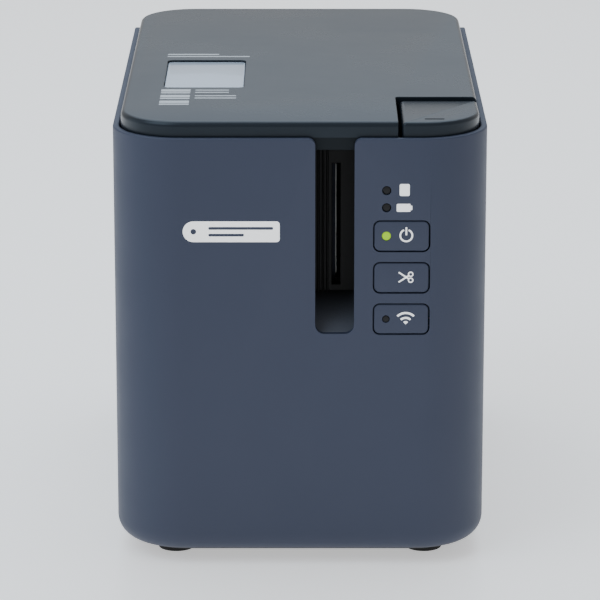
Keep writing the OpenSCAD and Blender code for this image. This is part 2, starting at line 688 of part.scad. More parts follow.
// Fixed plate of the cutter, with the studs that the blade and its cam gear turn on
module cutter_frame() color(steel_grey) from_tray() difference() {
    union() {
        block(-4, cutter_x + 8, cutter_y, cutter_y + 1.5, cutter_z - 8, 50.5);
        block(-4, 22, cutter_y + 1, 40, 0, 1.5);
        rod_y(blade_x, blade_z, cutter_y - 3, cutter_y + 0.5, shaft_r);
        rod_y(cam_x, cam_z, cutter_y - 7, cutter_y + 0.5, shaft_r);
    }
    block(tape_x - 2.6, tape_x + 3.6, cutter_y - 1, cutter_y + 2, tape_z - 2, tape_z + tape_w + 2);
    rod_y(cutter_x, cutter_z, cutter_y - 1, cutter_y + 3, 3);
    block(cam_x - 3, cutter_x + 20, cutter_y - 1, cutter_y + 2, 6, 60);
}

module fixed_blade() color([0.8, 0.82, 0.84]) from_tray() difference() {
    slab(cutter_y - 1.4, cutter_y) polygon([[tape_x - 9, 5], [tape_x - 0.15, 5],
        [tape_x - 0.15, 50], [tape_x - 9, 50]]);
    for (z = [10, 45]) rod_y(tape_x - 6, z, cutter_y - 2, cutter_y + 1, 1.2);
}

// A flat shape in the moving blade's plane, drawn from its pivot with the blade upright
module blade_plate() slab(cutter_y - 2.8, cutter_y - 1.6) translate([blade_x, blade_z])
    rotate(-blade_lean) children();

module moving_blade() color([0.8, 0.82, 0.84]) from_tray() difference() {
    reach = norm([cam_x - blade_x, cam_z - blade_z]);
    aim = atan2(cam_z - blade_z, cam_x - blade_x) + blade_lean / 2;
    union() {
        blade_plate() circle(4.2);
        blade_plate() polygon([[-2.8, 0], [-2.5, 6], [-2.5, 50], [1, 52], [5.5, 50], [3.8, 0]]);
        blade_plate() rotate(aim) translate([0, -3.4]) square([reach - 2, 6.8]);
    }
    rod_y(blade_x, blade_z, cutter_y - 3, cutter_y, shaft_r + running_gap);
    blade_plate() rotate(aim) translate([reach - crank_r - 1.7, -crank_pin_r - crank_play])
        square([3.9, 2 * (crank_pin_r + crank_play)]);
}

module cutter_cam_gear() color(natural) from_tray() {
    aim = atan2(blade_z - cam_z, blade_x - cam_x) + 30;
    slab(cutter_y - 6.8, cutter_y - 3.4) translate([cam_x, cam_z])
        gear(cam_teeth, 0, shaft_r + running_gap);
    rod_y(cam_x + crank_r * cos(aim), cam_z + crank_r * sin(aim), cutter_y - 3.5, cutter_y - 1.2,
        crank_pin_r);
}

module cutter_pinion() color([0.8, 0.66, 0.32]) from_tray() {
    slab(cutter_y - 6.8, cutter_y - 3.4) translate([cutter_x, cutter_z])
        gear(pinion_teeth, mesh_phase(cutter_angle, cam_teeth, pinion_teeth), 0.8);
    rod_y(cutter_x, cutter_z, cutter_y - 7.2, cutter_y + 1.9, motor_shaft_r);
}

module cutter_motor() color(steel_grey) from_tray() {
    rod_y(cutter_x, cutter_z, cutter_y + 2, cutter_y + 28, cutter_motor_r);
    for (x = [-6, 6]) rod_y(cutter_x + x, cutter_z, cutter_y + 1.5, cutter_y + 2.1, 1.5);
    rod_y(cutter_x, cutter_z, cutter_y + 28, cutter_y + 30, 3);
}

module main_board() color(board_green) from_front() {
    block(-44, 44, 60, port_back - 4, board_top - 1.6, board_top);
    block(-12, 4, 110, 126, board_top, board_top + 1.6);
    block(-36, -28, 100, 112, board_top, board_top + 1.2);
    for (i = [0:2]) rod(-34 + i * 11, 146, board_top, board_top + 12, 4);
    for (i = [0:3]) block(10, 18, 66 + i * 9, 71 + i * 9, board_top, board_top + 1.4);
}

module wireless_module() color([0.15, 0.3, 0.55]) from_front() {
    block(22, 40, 100, 126, board_top, board_top + 1);
    block(24, 38, 102, 118, board_top + 1, board_top + 3);
}

module socket(p, depth, inset) difference() {
    block(p[0], p[1], port_back - 15, port_back, board_top, board_top + p[2]);
    block(p[0] + inset, p[1] - inset, port_back - depth, port_back + 1, board_top + inset,
        board_top + p[2] - inset);
}

module dc_jack() color(dark) from_front() let (x = (dc[0] + dc[1]) / 2, z = board_top + dc[2] / 2) {
    difference() {
        block(dc[0], dc[1], port_back - 12, port_back, board_top, board_top + dc[2]);
        rod_y(x, z, port_back - 9, port_back + 1, 3);
    }
    rod_y(x, z, port_back - 9.5, port_back - 1, 1);
}

module usb_ports() color(steel_grey) from_front() {
    socket(usb_b, 10, 1.8);
    block(usb_b[0] + 3.4, usb_b[1] - 3.4, port_back - 11, port_back - 2, board_top + 4.2,
        board_top + 7);
    socket(usb_a, 10, 0.6);
    block(usb_a[0] + 1.2, usb_a[1] - 1.2, port_back - 11, port_back - 1, board_top + 3,
        board_top + 4.6);
}

module lan_port() color(steel_grey) from_front() socket(lan, 12, 2);
module serial_port() color(dark) from_front() socket(serial, 12, 1.8);

main_housing();
rear_cover();
base_plate();
terminal_cover();
feet();
base_screws();
rear_screws();
top_cover();
cover_window();
cover_catch();
hinge_pins();
release_button();
release_spring();
latch_slider();
power_button();
cut_button();
wifi_button();
power_lens();
wifi_lens();
status_lenses();
panel_board();
tact_switches();
chassis();
hinge_brackets();
deck_cover();
exit_chute();
cassette_case_lower();
cassette_case_upper();
cassette_label();
tape_roll();
ribbon_spool();
take_up_spool();
label_tape();
head_heat_sink();
print_head();
roller_holder();
platen_roller();
pinch_roller();
gear_plate();
idler_gear();
platen_gear();
ribbon_gear();
motor_pinion();
feed_motor();
cutter_frame();
fixed_blade();
moving_blade();
cutter_cam_gear();
cutter_pinion();
cutter_motor();
main_board();
wireless_module();
dc_jack();
usb_ports();
lan_port();
serial_port();
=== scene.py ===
import json
import math

import bmesh
import bpy
import numpy as np
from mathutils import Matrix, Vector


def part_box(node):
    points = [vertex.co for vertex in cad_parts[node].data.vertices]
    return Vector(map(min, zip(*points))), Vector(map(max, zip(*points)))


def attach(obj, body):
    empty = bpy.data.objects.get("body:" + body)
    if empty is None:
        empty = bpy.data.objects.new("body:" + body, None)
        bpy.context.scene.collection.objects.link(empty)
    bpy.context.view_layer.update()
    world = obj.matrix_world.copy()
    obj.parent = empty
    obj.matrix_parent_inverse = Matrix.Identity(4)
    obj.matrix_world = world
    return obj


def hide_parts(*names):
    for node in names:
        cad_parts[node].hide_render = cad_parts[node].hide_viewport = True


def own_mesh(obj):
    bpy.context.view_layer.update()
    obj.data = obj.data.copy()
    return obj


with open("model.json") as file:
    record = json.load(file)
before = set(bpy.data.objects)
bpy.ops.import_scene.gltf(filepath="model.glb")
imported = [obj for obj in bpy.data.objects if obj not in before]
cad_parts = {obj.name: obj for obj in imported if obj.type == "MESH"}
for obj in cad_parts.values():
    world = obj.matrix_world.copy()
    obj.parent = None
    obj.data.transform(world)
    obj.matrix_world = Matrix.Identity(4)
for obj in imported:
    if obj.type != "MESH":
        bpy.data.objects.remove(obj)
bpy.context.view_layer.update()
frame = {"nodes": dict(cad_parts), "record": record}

bl_info = {
    "name": "Label Maker",
    "version": (1, 0, 0),
    "blender": (4, 5, 0),
    "location": "View3D > Sidebar > Label Maker",
    "description": "Builds the shells, keys, symbols and finishes of a desktop label maker",
    "category": "Object",
}

MM = 0.001
# How far, at the least, a cutting solid runs past what it cuts
PAST = MM
# Gap between a lens and its hole
LENS_PLAY = 0.05 * MM
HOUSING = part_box("main_housing")
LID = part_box("top_cover")
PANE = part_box("cover_window")
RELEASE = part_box("release_button")
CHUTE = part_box("exit_chute")
# The shells stand this far inside the CAD faces, so that the ink on them stays in the CAD box
PRINT_ROOM = 0.05 * MM
FRONT = HOUSING[0].y + PRINT_ROOM
LID_TOP = LID[1].z - PRINT_ROOM
# Where the release button's skirt ends, and the walls beside it
RELEASE_SKIRT = 137 * MM


# ---------------------------------------------------------------- sizes and colours

def size(name, description, default, low=0.0, high=1.0):
    """A length property in metres."""
    return bpy.props.FloatProperty(name=name, description=description, default=default,
                                   min=low, max=high, unit="LENGTH", precision=5)


def tint(name, description, default):
    """A colour property."""
    return bpy.props.FloatVectorProperty(name=name, description=description, default=default,
                                         size=3, min=0.0, max=1.0, subtype="COLOR")


def amount(name, description, default):
    """A plain number that isn't negative."""
    return bpy.props.FloatProperty(name=name, description=description, default=default,
                                   min=0.0)


class HousingSizes(bpy.types.PropertyGroup):
    """Sizes and colour of the housing"""
    corner: size("Corner radius", "Radius of the upright corners", 22 * MM)
    bottom: size("Bottom radius", "Radius along the bottom edge", 7 * MM)
    wall: size("Wall", "Thickness of the wall", 2.2 * MM)
    lip: size("Lip", "Width of the ledge under the base plate", 8 * MM)
    rim: size("Rim rounding", "Rounding of the rim", 0.6 * MM)
    slot_middle: size("Slot middle", "Middle of the label slot", 10.95 * MM)
    slot_width: size("Slot width", "Width of the label slot", 12.3 * MM)
    slot_height: size("Slot height", "Height of the label slot below the rim", 63.4 * MM)
    slot_corner: size("Slot corner", "Radius at the slot's lower corners", 3 * MM)
    slot_flare: size("Slot flare", "Radius where the slot meets the rim", 2.4 * MM)
    edge: size("Edge", "Rounding of the cut edges", 0.45 * MM)
    foot: size("Foot", "Radius of a rubber foot", 6 * MM)
    colour: tint("Housing", "Slate of the housing", (0.038, 0.047, 0.079))


class LidSizes(bpy.types.PropertyGroup):
    """Sizes and colours of the lid"""
    corner: size("Corner radius", "Radius of the lid's upright corners", 19.4 * MM)
    edge: size("Top edge", "Rounding of the lid's top edge", 1.7 * MM)
    thickness: size("Thickness", "Thickness of the lid plate and skirt", 2.2 * MM)
    notch_gap: size("Notch gap", "Gap round the release button", 1.2 * MM)
    window_rim: size("Window flange", "Width of the window's hidden flange", 2 * MM)
    skirt_back: size("Deep skirt", "Where the deep part of the skirt starts", 69 * MM, -1.0)
    arm_radius: size("Arm radius", "Radius of the hinge arms", 4.5 * MM)
    arm_width: size("Arm width", "Width of the hinge arms", 3 * MM)
    rib_back: size("Rear rib", "Where the rearmost rib under the lid stands", 45 * MM)
    rib_pitch: size("Rib pitch", "From one rib under the lid to the next", 33 * MM)
    slope: bpy.props.FloatProperty(name="Slope", description="Fall of the release button's top",
                                   default=0.022, min=0.0, max=0.1)
    colour: tint("Lid", "Grey of the lid", (0.010, 0.014, 0.020))


class KeySizes(bpy.types.PropertyGroup):
    """Sizes of the front keys and of the printed symbols"""
    corner: size("Key corner", "Corner radius of a key", 1.9 * MM)
    edge: size("Key edge", "Rounding of a key's front edge", 0.45 * MM)
    flange: size("Flange", "Width of the flange behind a key", 1.3 * MM)
    gap: size("Gap", "Gap round a key", 0.35 * MM)
    depth: size("Depth", "Depth of a key's cap", 3.4 * MM)
    sunk: size("Sunk", "How far a key's face lies behind the housing's", 0.12 * MM)
    ink: size("Ink", "Thickness of the printed symbols", 0.04 * MM)
    symbol_x: size("Symbols", "Middle of the column of symbols", 33.45 * MM)
    tag_left: size("Tag left", "Left end of the tag mark", -36.9 * MM, -1.0)
    tag_right: size("Tag right", "Right end of the tag mark", -6.4 * MM, -1.0)
    tag_low: size("Tag foot", "Lower edge of the tag mark", 107.9 * MM)
    tag_high: size("Tag head", "Upper edge of the tag mark", 114.6 * MM)
    lamp: tint("Power lamp", "Glow of the power lamp", (0.52, 0.92, 0.0))


class StageSizes(bpy.types.PropertyGroup):
    """Where the camera stands and how the light falls"""
    distance: size("Camera distance", "From the front face to the camera", 1.0781, 0.5, 3.0)
    height: size("Camera height", "Height of the camera", 0.38955, 0.1, 1.0)
    pitch: bpy.props.FloatProperty(name="Pitch", description="How far the camera looks down",
                                   default=0.2719, unit="ROTATION")
    lens: amount("Lens", "Focal length of the camera, in millimetres", 212.4)
    floor: tint("Floor", "Colour of the floor", (0.9, 0.9, 0.9))
    glow: amount("Glow", "Light that the translucent floor gives off", 0.6)
    world: amount("World", "Strength of the white surroundings", 0.58)
    key: amount("Front light", "Power of the light in front and above, in watts", 7.0)
    top: amount("Top light", "Power of the light overhead, in watts", 10.0)
    back: amount("Back light", "Power of the panel behind, in watts", 4.0)
    left: amount("Left light", "Power of the light at the left, in watts", 0.9)
    cool: tint("Lights", "Colour of the lights", (0.72, 0.86, 1.0))
    sky: tint("Back light colour", "Colour of the panel behind", (0.52, 0.74, 1.0))


# ---------------------------------------------------------------- outlines, as whole arrays

def arc(cx, cy, radius, start, stop, count=16):
    """Points on a circle: the centre plus the radius times cosine and sine of evenly spread
    angles, in degrees."""
    a = np.radians(np.linspace(start, stop, count + 1))
    return np.stack([cx + radius * np.cos(a), cy + radius * np.sin(a)], 1)


def rounded(x0, x1, y0, y1, radii, count=12):
    """A rectangle whose four corners are quarter circles: low-low, high-low, high-high and
    low-high, anticlockwise."""
    r = np.broadcast_to(radii, 4)
    return np.concatenate([
        arc(x0 + r[0], y0 + r[0], r[0], 180, 270, count),
        arc(x1 - r[1], y0 + r[1], r[1], 270, 360, count),
        arc(x1 - r[2], y1 - r[2], r[2], 0, 90, count),
        arc(x0 + r[3], y1 - r[3], r[3], 90, 180, count)])


def footprint(box, inset, radii, count):
    """A box seen from above, drawn in by an inset, with round corners."""
    low, high = box
    return rounded(low.x + inset, high.x - inset, low.y + inset, high.y - inset, radii, count)


def middle(box):
    """The middle of a box."""
    return (box[0] + box[1]) / 2


def inward(outline, closed=True):
    """The unit inward normal at each point of an anticlockwise outline: the mean direction of
    the edges before and after it, turned a quarter turn to the left."""
    ahead = np.roll(outline, -1, 0) - outline
    behind = np.roll(ahead, 1, 0)
    if not closed:
        ahead[-1], behind[0] = behind[-1], ahead[0]
    unit = [v / np.maximum(np.linalg.norm(v, axis=1, keepdims=True), 1e-12)
            for v in (ahead, behind)]
    along = unit[0] + unit[1]
    along /= np.maximum(np.linalg.norm(along, axis=1, keepdims=True), 1e-12)
    return np.stack([-along[:, 1], along[:, 0]], 1)


def fillet(radius, count=6):
    """A quarter-round in inset and drop: the inset is the radius times one minus the cosine,
    and the drop the radius times one minus the sine, over a quarter turn."""
    a = np.linspace(0, math.pi / 2, count + 1)
    return np.stack([radius * (1 - np.cos(a)), radius * (1 - np.sin(a))], 1)


# ---------------------------------------------------------------- meshes

def grid_faces(rows, columns, wrap_rows=False, wrap_columns=False):
    """Quads between neighbouring points of a grid, as one array of vertex numbers."""
    i = np.arange(rows if wrap_rows else rows - 1)
    j = np.arange(columns if wrap_columns else columns - 1)
    i, j = (v.ravel() for v in np.meshgrid(i, j, indexing="ij"))
    k, m = (i + 1) % rows, (j + 1) % columns
    return np.stack([i * columns + j, k * columns + j, k * columns + m, i * columns + m], 1)


def piece(name, points, faces, caps=()):
    """A mesh object from an array of points, an array of quads and a few polygons."""
    mesh = bpy.data.meshes.new(name)
    mesh.from_pydata(np.reshape(points, (-1, 3)), [], [*faces.tolist(), *caps])
    mesh.validate()
    made = bpy.data.objects.new(name, mesh)
    bpy.context.scene.collection.objects.link(made)
    outwards(made)
    return made


def outwards(made):
    """Merges doubled points, turns the faces outwards and shades them smooth."""
    work = bmesh.new()
    work.from_mesh(made.data)
    bmesh.ops.remove_doubles(work, verts=work.verts, dist=2e-7)
    bmesh.ops.recalc_face_normals(work, faces=work.faces)
    work.to_mesh(made.data)
    work.free()
    made.data.shade_smooth()


def sweep(outline, profile, to_space, closed=True):
    """The grid of a profile carried along an outline. Each profile point is an inset and a
    height; a point of the grid is the outline point plus the inset times its inward normal, at
    that height."""
    flat = outline[:, None, :] + profile[None, :, :1] * inward(outline, closed)[:, None, :]
    height = np.broadcast_to(profile[None, :, 1], flat.shape[:2])
    return to_space(flat[..., 0], flat[..., 1], height)


def end_rings(rows, columns):
    """The first and the last ring of a grid whose rows run round, as two polygons."""
    rings = np.arange(rows) * columns
    return [rings.tolist(), (rings + columns - 1).tolist()[::-1]]


def end_rows(rows, columns):
    """The first and the last row of a grid whose columns run round, as two polygons."""
    row = np.arange(columns)
    return [row.tolist(), (row + (rows - 1) * columns).tolist()[::-1]]


def swept(name, outline, profile, to_space, closed=True):
    """A sweep whose profile is closed. An open outline is capped at both ends."""
    points = sweep(outline, profile, to_space, closed)
    shape = points.shape[:2]
    return piece(name, points, grid_faces(*shape, closed, True),
                 [] if closed else end_rows(*shape))


def lofted(name, outline, profile, to_space):
    """A sweep whose profile is open. Its first and last rings are closed by a face."""
    points = sweep(outline, profile, to_space)
    shape = points.shape[:2]
    return piece(name, points, grid_faces(*shape, True, False), end_rings(*shape))


def upright(x, y, height):
    """An outline seen from above, whose profile climbs along Z."""
    return np.stack([x, y, height], -1)


def facing(x, z, depth):
    """An outline seen from the front, whose profile runs back along Y."""
    return np.stack([x, depth, z], -1)


def sideways(y, z, width):
    """An outline seen from the side, whose profile runs along X."""
    return np.stack([width, y, z], -1)


def prism(name, outline, low, high, to_space, edge=0.0):
    """An outline carried straight from low to high, with a quarter-round at the high end."""
    profile = np.array([[0.0, low], [0.0, high]])
    if edge:
        turn = fillet(edge)
        profile = np.concatenate([[[0.0, low]], np.stack([turn[:, 0], high - turn[:, 1]], 1)])
    return lofted(name, outline, profile, to_space)


def turned(name, radii, heights, x, y, count=48):
    """A profile of radius against height turned about an upright axis: x is the axis plus the
    radius times the cosine, and y the same with the sine."""
    a = np.linspace(0, 2 * math.pi, count, endpoint=False)
    shape = count, len(radii)
    points = np.stack([x + np.outer(np.cos(a), radii), y + np.outer(np.sin(a), radii),
                       np.broadcast_to(heights, shape)], -1)
    return piece(name, points, grid_faces(*shape, True, False), end_rings(*shape))


def joined(name, parts):
    """Several separate solids made one piece."""
    points, faces, start = [], [], 0
    for part in parts:
        co = np.empty(len(part.data.vertices) * 3)
        part.data.vertices.foreach_get("co", co)
        points.append(co.reshape(-1, 3))
        faces += [[v + start for v in p.vertices] for p in part.data.polygons]
        start += len(part.data.vertices)
        bpy.data.objects.remove(part)
    mesh = bpy.data.meshes.new(name)
    mesh.from_pydata(np.concatenate(points), [], faces)
    mesh.shade_smooth()
    made = bpy.data.objects.new(name, mesh)
    bpy.context.scene.collection.objects.link(made)
    return made


def carve(body, cutters):
    """Cuts solids out of a body, and keeps the result as the body's own mesh."""
    for cutter in cutters:
        step = body.modifiers.new("Carve", "BOOLEAN")
        step.object, step.operation, step.solver = cutter, "DIFFERENCE", "EXACT"
    graph = bpy.context.evaluated_depsgraph_get()
    mesh = bpy.data.meshes.new_from_object(body.evaluated_get(graph))
    body.modifiers.clear()
    body.data = mesh
    for cutter in cutters:
        bpy.data.objects.remove(cutter)
    body.data.shade_smooth()
    return body


def soften(made, width, segments=2, angle=40):
    """Rounds every edge sharper than the angle, and keeps the flats flat."""
    made.data.set_sharp_from_angle(angle=math.radians(angle))
    bevel = made.modifiers.new("Edges", "BEVEL")
    bevel.width, bevel.segments, bevel.limit_method = width, segments, "ANGLE"
    bevel.angle_limit = math.radians(angle)
    bevel.use_clamp_overlap = True
    bevel.harden_normals = True
    return made


def settle(made, body, material, nodes=()):
    """Gives a piece its finish, its body and the CAD nodes that it stands for."""
    made.data.materials.clear()
    made.data.materials.append(material)
    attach(made, body)
    if nodes:
        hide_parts(*nodes)
    return made


# ---------------------------------------------------------------- shader maths

class Value:
    """A shader socket that takes part in Python sums; each one adds a Math node."""

    def __init__(self, finish, socket):
        self.finish, self.socket = finish, socket

    def maths(self, operation, *terms):
        """A Math node on one, two or three terms."""
        made = self.finish.node("ShaderNodeMath", {"operation": operation},
                                dict(enumerate(terms)))
        return Value(self.finish, made.outputs[0])

    def __add__(self, other):
        return self.maths("ADD", self, other)

    def __sub__(self, other):
        return self.maths("SUBTRACT", self, other)

    def __rsub__(self, other):
        return self.maths("SUBTRACT", other, self)

    def __mul__(self, other):
        return self.maths("MULTIPLY", self, other)

    def __gt__(self, other):
        return self.maths("GREATER_THAN", self, other)

    def __lt__(self, other):
        return self.maths("LESS_THAN", self, other)

    def __mod__(self, pitch):
        return self.maths("WRAP", self, pitch, 0.0)

    def root(self):
        """The square root."""
        return self.maths("SQRT", self)

    __radd__, __rmul__ = __add__, __mul__


class Finish:
    """One material while it is being made: its nodes, and the shader that they feed."""

    def __init__(self, name, **constants):
        self.material = bpy.data.materials.new(name)
        self.material.use_nodes = True
        self.tree = self.material.node_tree
        self.shader = self.tree.nodes["Principled BSDF"]
        self.place = self.node("ShaderNodeTexCoord").outputs["Object"]
        for socket, value in constants.items():
            self.shader.inputs[socket.replace("_", " ")].default_value = value

    def node(self, kind, settings=(), inputs=()):
        """Adds a node: its settings first, then its sockets."""
        made = self.tree.nodes.new(kind)
        for name, value in dict(settings).items():
            setattr(made, name, value)
        for name, value in dict(inputs).items():
            self.feed(made.inputs[name], value)
        return made

    def feed(self, socket, value):
        """Links a value to a socket, or sets the socket to a number or colour."""
        value = getattr(value, "socket", value)
        if isinstance(value, bpy.types.NodeSocket):
            self.tree.links.new(value, socket)
        elif socket.type == "RGBA" and len(value) == 3:
            socket.default_value = (*value, 1)
        else:
            socket.default_value = value

    def noise(self, scale, detail=3.0, roughness=0.5, stretch=(1, 1, 1)):
        """Cloudy noise from 0 to 1, finer with a larger scale, drawn out along an axis by a
        stretch under 1."""
        place = self.node("ShaderNodeMapping", {}, {"Vector": self.place, "Scale": stretch})
        made = self.node("ShaderNodeTexNoise", {}, {
            "Vector": place.outputs[0], "Scale": scale, "Detail": detail,
            "Roughness": roughness})
        return Value(self, made.outputs[0])

    def cells(self, scale, feature="F1"):
        """Voronoi cells: the distance to the nearest point, or to the cell's edge."""
        made = self.node("ShaderNodeTexVoronoi", {"feature": feature},
                         {"Vector": self.place, "Scale": scale})
        return Value(self, made.outputs["Distance"])

    def axis(self, letter):
        """The place along one axis, in metres."""
        split = self.node("ShaderNodeSeparateXYZ", {}, {"Vector": self.place})
        return Value(self, split.outputs[letter])

    def stripes(self, letter, pitch, share):
        """1 on bars of that share of the pitch across an axis, else 0."""
        return self.axis(letter) % pitch < pitch * share

    def blend(self, low, high, share):
        """A colour between two others."""
        made = self.node("ShaderNodeMix", {"data_type": "RGBA"},
                         {0: share, 6: low, 7: high})
        return Value(self, made.outputs[2])

    def bump(self, height, depth, strength):
        """Relief of that depth in metres."""
        made = self.node("ShaderNodeBump", {}, {"Height": height, "Distance": depth,
                                                "Strength": strength})
        self.feed(self.shader.inputs["Normal"], made.outputs[0])

    def done(self, **sockets):
        """Feeds the shader's sockets and returns the material."""
        for name, value in sockets.items():
            self.feed(self.shader.inputs[name.replace("_", " ")], value)
        return self.material


def shade(colour, factor):
    """A colour made lighter or darker."""
    return tuple(min(1.0, c * factor) for c in colour)


def moulded(name, colour, roughness, grain, depth=0.03 * MM, mottle=0.05, shine=0.5):
    """Moulded plastic: a fine spark-eroded grain, faint clouds in its colour, and handling that
    leaves it a little shinier in patches."""
    finish = Finish(name, Specular_IOR_Level=shine)
    clouds = finish.noise(26, 4)
    handling = finish.noise(70, 5, 0.6)
    speck = finish.noise(grain * 0.6, 2)
    grains = finish.noise(grain, 4, 0.6) + 0.5 * finish.cells(grain * 0.8)
    finish.bump(grains, depth, 0.55)
    tone = 0.7 * clouds + 0.3 * speck
    return finish.done(Base_Color=finish.blend(shade(colour, 1 - mottle),
                                               shade(colour, 1 + mottle), tone),
                       Roughness=roughness + 0.14 * (handling - 0.5))


def lid_finish(name, colour):
    """The lid's satin plastic, with a fine even grain; below the housing's rim it is darkened to
    near black, partly the black of its inner frame and partly painted shade inside the housing.
    """
    finish = Finish(name, Specular_IOR_Level=0.3, Specular_Tint=(0.78, 0.90, 1.0, 1))
    clouds, grains = finish.noise(26, 4), finish.noise(2600, 3, 0.6)
    finish.bump(grains, 0.006 * MM, 0.5)
    # 1 above the housing's rim; below it the grey is darkened to 0.15, partly the inner frame's
    # black and partly painted shade inside the housing
    above = finish.axis("Z") > HOUSING[1].z - 0.2 * MM
    tone = finish.blend(shade(colour, 0.97), shade(colour, 1.03), clouds)
    return finish.done(Base_Color=finish.blend(shade(colour, 0.15), tone, above),
                       Roughness=0.6 - 0.32 * above + 0.1 * (clouds - 0.5))


def chute_black(name):
    """The chute's black plastic, greyer towards the foot of its sloping floor: painted light
    where the floor catches light through the slot.
    """
    finish = Finish(name, Specular_IOR_Level=0.22)
    grains = finish.noise(2000, 3)
    finish.bump(grains, 0.01 * MM, 0.4)
    # Painted light: 0 down to 11.5 mm above the chute's foot, then rising by 1 for every 6 mm
    # lower down the sloping floor
    painted_floor_light = (CHUTE[0].z + 11.5 * MM - finish.axis("Z")) * (1 / (6 * MM))
    return finish.done(Base_Color=finish.blend((0.0035, 0.0033, 0.0035), (0.09, 0.10, 0.125),
                                               painted_floor_light * (0.6 + 0.4 * grains)),
                       Roughness=0.45 + 0.1 * grains)


def blued(name):
    """Blued tool steel with faint grinding lines."""
    finish = Finish(name, Metallic=1.0)
    lines = finish.noise(900, 3, 0.6, (0.1, 1, 1))
    finish.bump(lines, 0.01 * MM, 0.5)
    return finish.done(Base_Color=finish.blend((0.010, 0.011, 0.015), (0.022, 0.023, 0.028),
                                               lines),
                       Roughness=0.42 + 0.12 * lines)


def rubber(name, colour, grain=1500):
    """Matt rubber: ground grain, dusty patches and a soft edge to its shine."""
    finish = Finish(name, Specular_IOR_Level=0.35)
    dust = finish.noise(120, 6, 0.65)
    finish.bump(finish.noise(grain, 5, 0.7), 0.06 * MM, 0.7)
    return finish.done(Base_Color=finish.blend(colour, shade(colour, 2.6), dust * dust * 0.5),
                       Roughness=0.72 + 0.2 * (dust - 0.5))


def brushed(name, colour, roughness, stretch):
    """Drawn or brushed metal: fine lines along one axis, with faint stains."""
    finish = Finish(name, Metallic=1.0)
    lines = finish.noise(900, 3, 0.6, stretch)
    stains = finish.noise(55, 5)
    finish.bump(lines, 0.02 * MM, 0.5)
    return finish.done(Base_Color=finish.blend(shade(colour, 0.82), colour,
                                               0.6 * lines + 0.5 * stains),
                       Roughness=roughness + 0.22 * (lines - 0.5) + 0.1 * (stains - 0.5))


def plated(name, colour, roughness):
    """Zinc-plated sheet: crystal spangle and slight rub marks."""
    finish = Finish(name, Metallic=1.0)
    spangle = finish.cells(380)
    rubs = finish.noise(90, 5, 0.6, (1, 1, 0.3))
    finish.bump(finish.noise(1400, 3), 0.01 * MM, 0.4)
    return finish.done(Base_Color=finish.blend(shade(colour, 0.8), shade(colour, 1.08),
                                               0.5 * spangle + 0.5 * rubs),
                       Roughness=roughness + 0.3 * (rubs - 0.5))


def circuit_board(name, colour):
    """Solder resist over copper: tracks show as slightly raised lighter lines between round
    pads, on a glossy green."""
    finish = Finish(name, Coat_Weight=0.4, Coat_Roughness=0.12)
    tracks = finish.cells(260, "DISTANCE_TO_EDGE") < 0.07
    pads = finish.cells(420) < 0.16
    finish.bump(tracks, 0.03 * MM, 0.6)
    tracked = finish.blend(colour, shade(colour, 2.1), tracks)
    return finish.done(Base_Color=finish.blend(tracked, (0.62, 0.55, 0.36), pads),
                       Metallic=0.8 * pads, Roughness=0.34 + 0.2 * (finish.noise(300) - 0.5))


def printed_paper(name, paper, ink=None, pitch=0.0, share=0.0):
    """Coated paper with fibres in its surface, and plain bars printed across it if it has ink."""
    finish = Finish(name, Specular_IOR_Level=0.4)
    fibres = finish.noise(1700, 5, 0.65)
    finish.bump(fibres, 0.02 * MM, 0.5)
    warm = finish.blend(shade(paper, 0.93), paper, fibres)
    colour = finish.blend(warm, ink, finish.stripes("Y", pitch, share)) if ink else warm
    return finish.done(Base_Color=colour, Roughness=0.46 + 0.15 * (fibres - 0.5))


def wound_edge(name, light, dark, pitch, centre):
    """The end of a wound roll: rings a film's thickness apart, lighter and darker by turns."""
    finish = Finish(name, Specular_IOR_Level=0.5)
    across, along = finish.axis("X") - centre[0], finish.axis("Y") - centre[1]
    share = (across * across + along * along).root() % pitch * (1 / pitch)
    finish.bump(share, 0.03 * MM, 0.5)
    return finish.done(Base_Color=finish.blend(light, dark, share),
                       Roughness=0.3 + 0.15 * finish.noise(200))


def pane(name, colour):
    """The lid's window: clear plastic made nearly opaque, whose light grey-blue colour is a
    painted reflection of the white surroundings, with faint wipe marks.
    """
    finish = Finish(name, Alpha=0.9, Coat_Weight=0.5, Coat_Roughness=0.05)
    wipes = finish.noise(60, 6, 0.6, (1, 0.25, 1))
    finish.bump(finish.noise(500, 2), 0.004 * MM, 0.3)
    return finish.done(Base_Color=finish.blend(shade(colour, 0.94), shade(colour, 1.04), wipes),
                       Roughness=0.1 + 0.12 * wipes)


def lamp(name, colour, glow, strength):
    """A small moulded lens with a frosted face, whose glow is a little uneven when it is lit."""
    finish = Finish(name, Specular_IOR_Level=0.25, Emission_Strength=strength)
    frost = finish.noise(2600, 4)
    finish.bump(frost, 0.02 * MM, 0.5)
    return finish.done(Base_Color=finish.blend(shade(colour, 0.85), colour, frost),
                       Emission_Color=finish.blend(shade(glow, 0.8), glow, frost),
                       Roughness=0.3 + 0.1 * frost)


def printed_ink(name, colour, glow):
    """Screen-printed ink: flat, bright, very slightly uneven, and thinner in specks. Its glow is
    painted light, since the ink is no lamp.
    """
    finish = Finish(name, Specular_IOR_Level=0.3, Emission_Color=(1, 1, 1, 1),
                    Emission_Strength=glow)
    weave = finish.noise(3200, 3)
    finish.bump(weave, 0.01 * MM, 0.4)
    return finish.done(Base_Color=finish.blend(shade(colour, 0.9), colour, weave),
                       Roughness=0.5 + 0.1 * weave)


def floor_finish(colour, glow):
    """A pale studio table lit from below: almost white, with a soft shine."""
    finish = Finish("studio_floor", Emission_Color=(1, 1, 1, 1), Emission_Strength=glow)
    return finish.done(Base_Color=finish.blend(shade(colour, 0.995), colour, finish.noise(4)),
                       Roughness=0.32 + 0.04 * finish.noise(9))


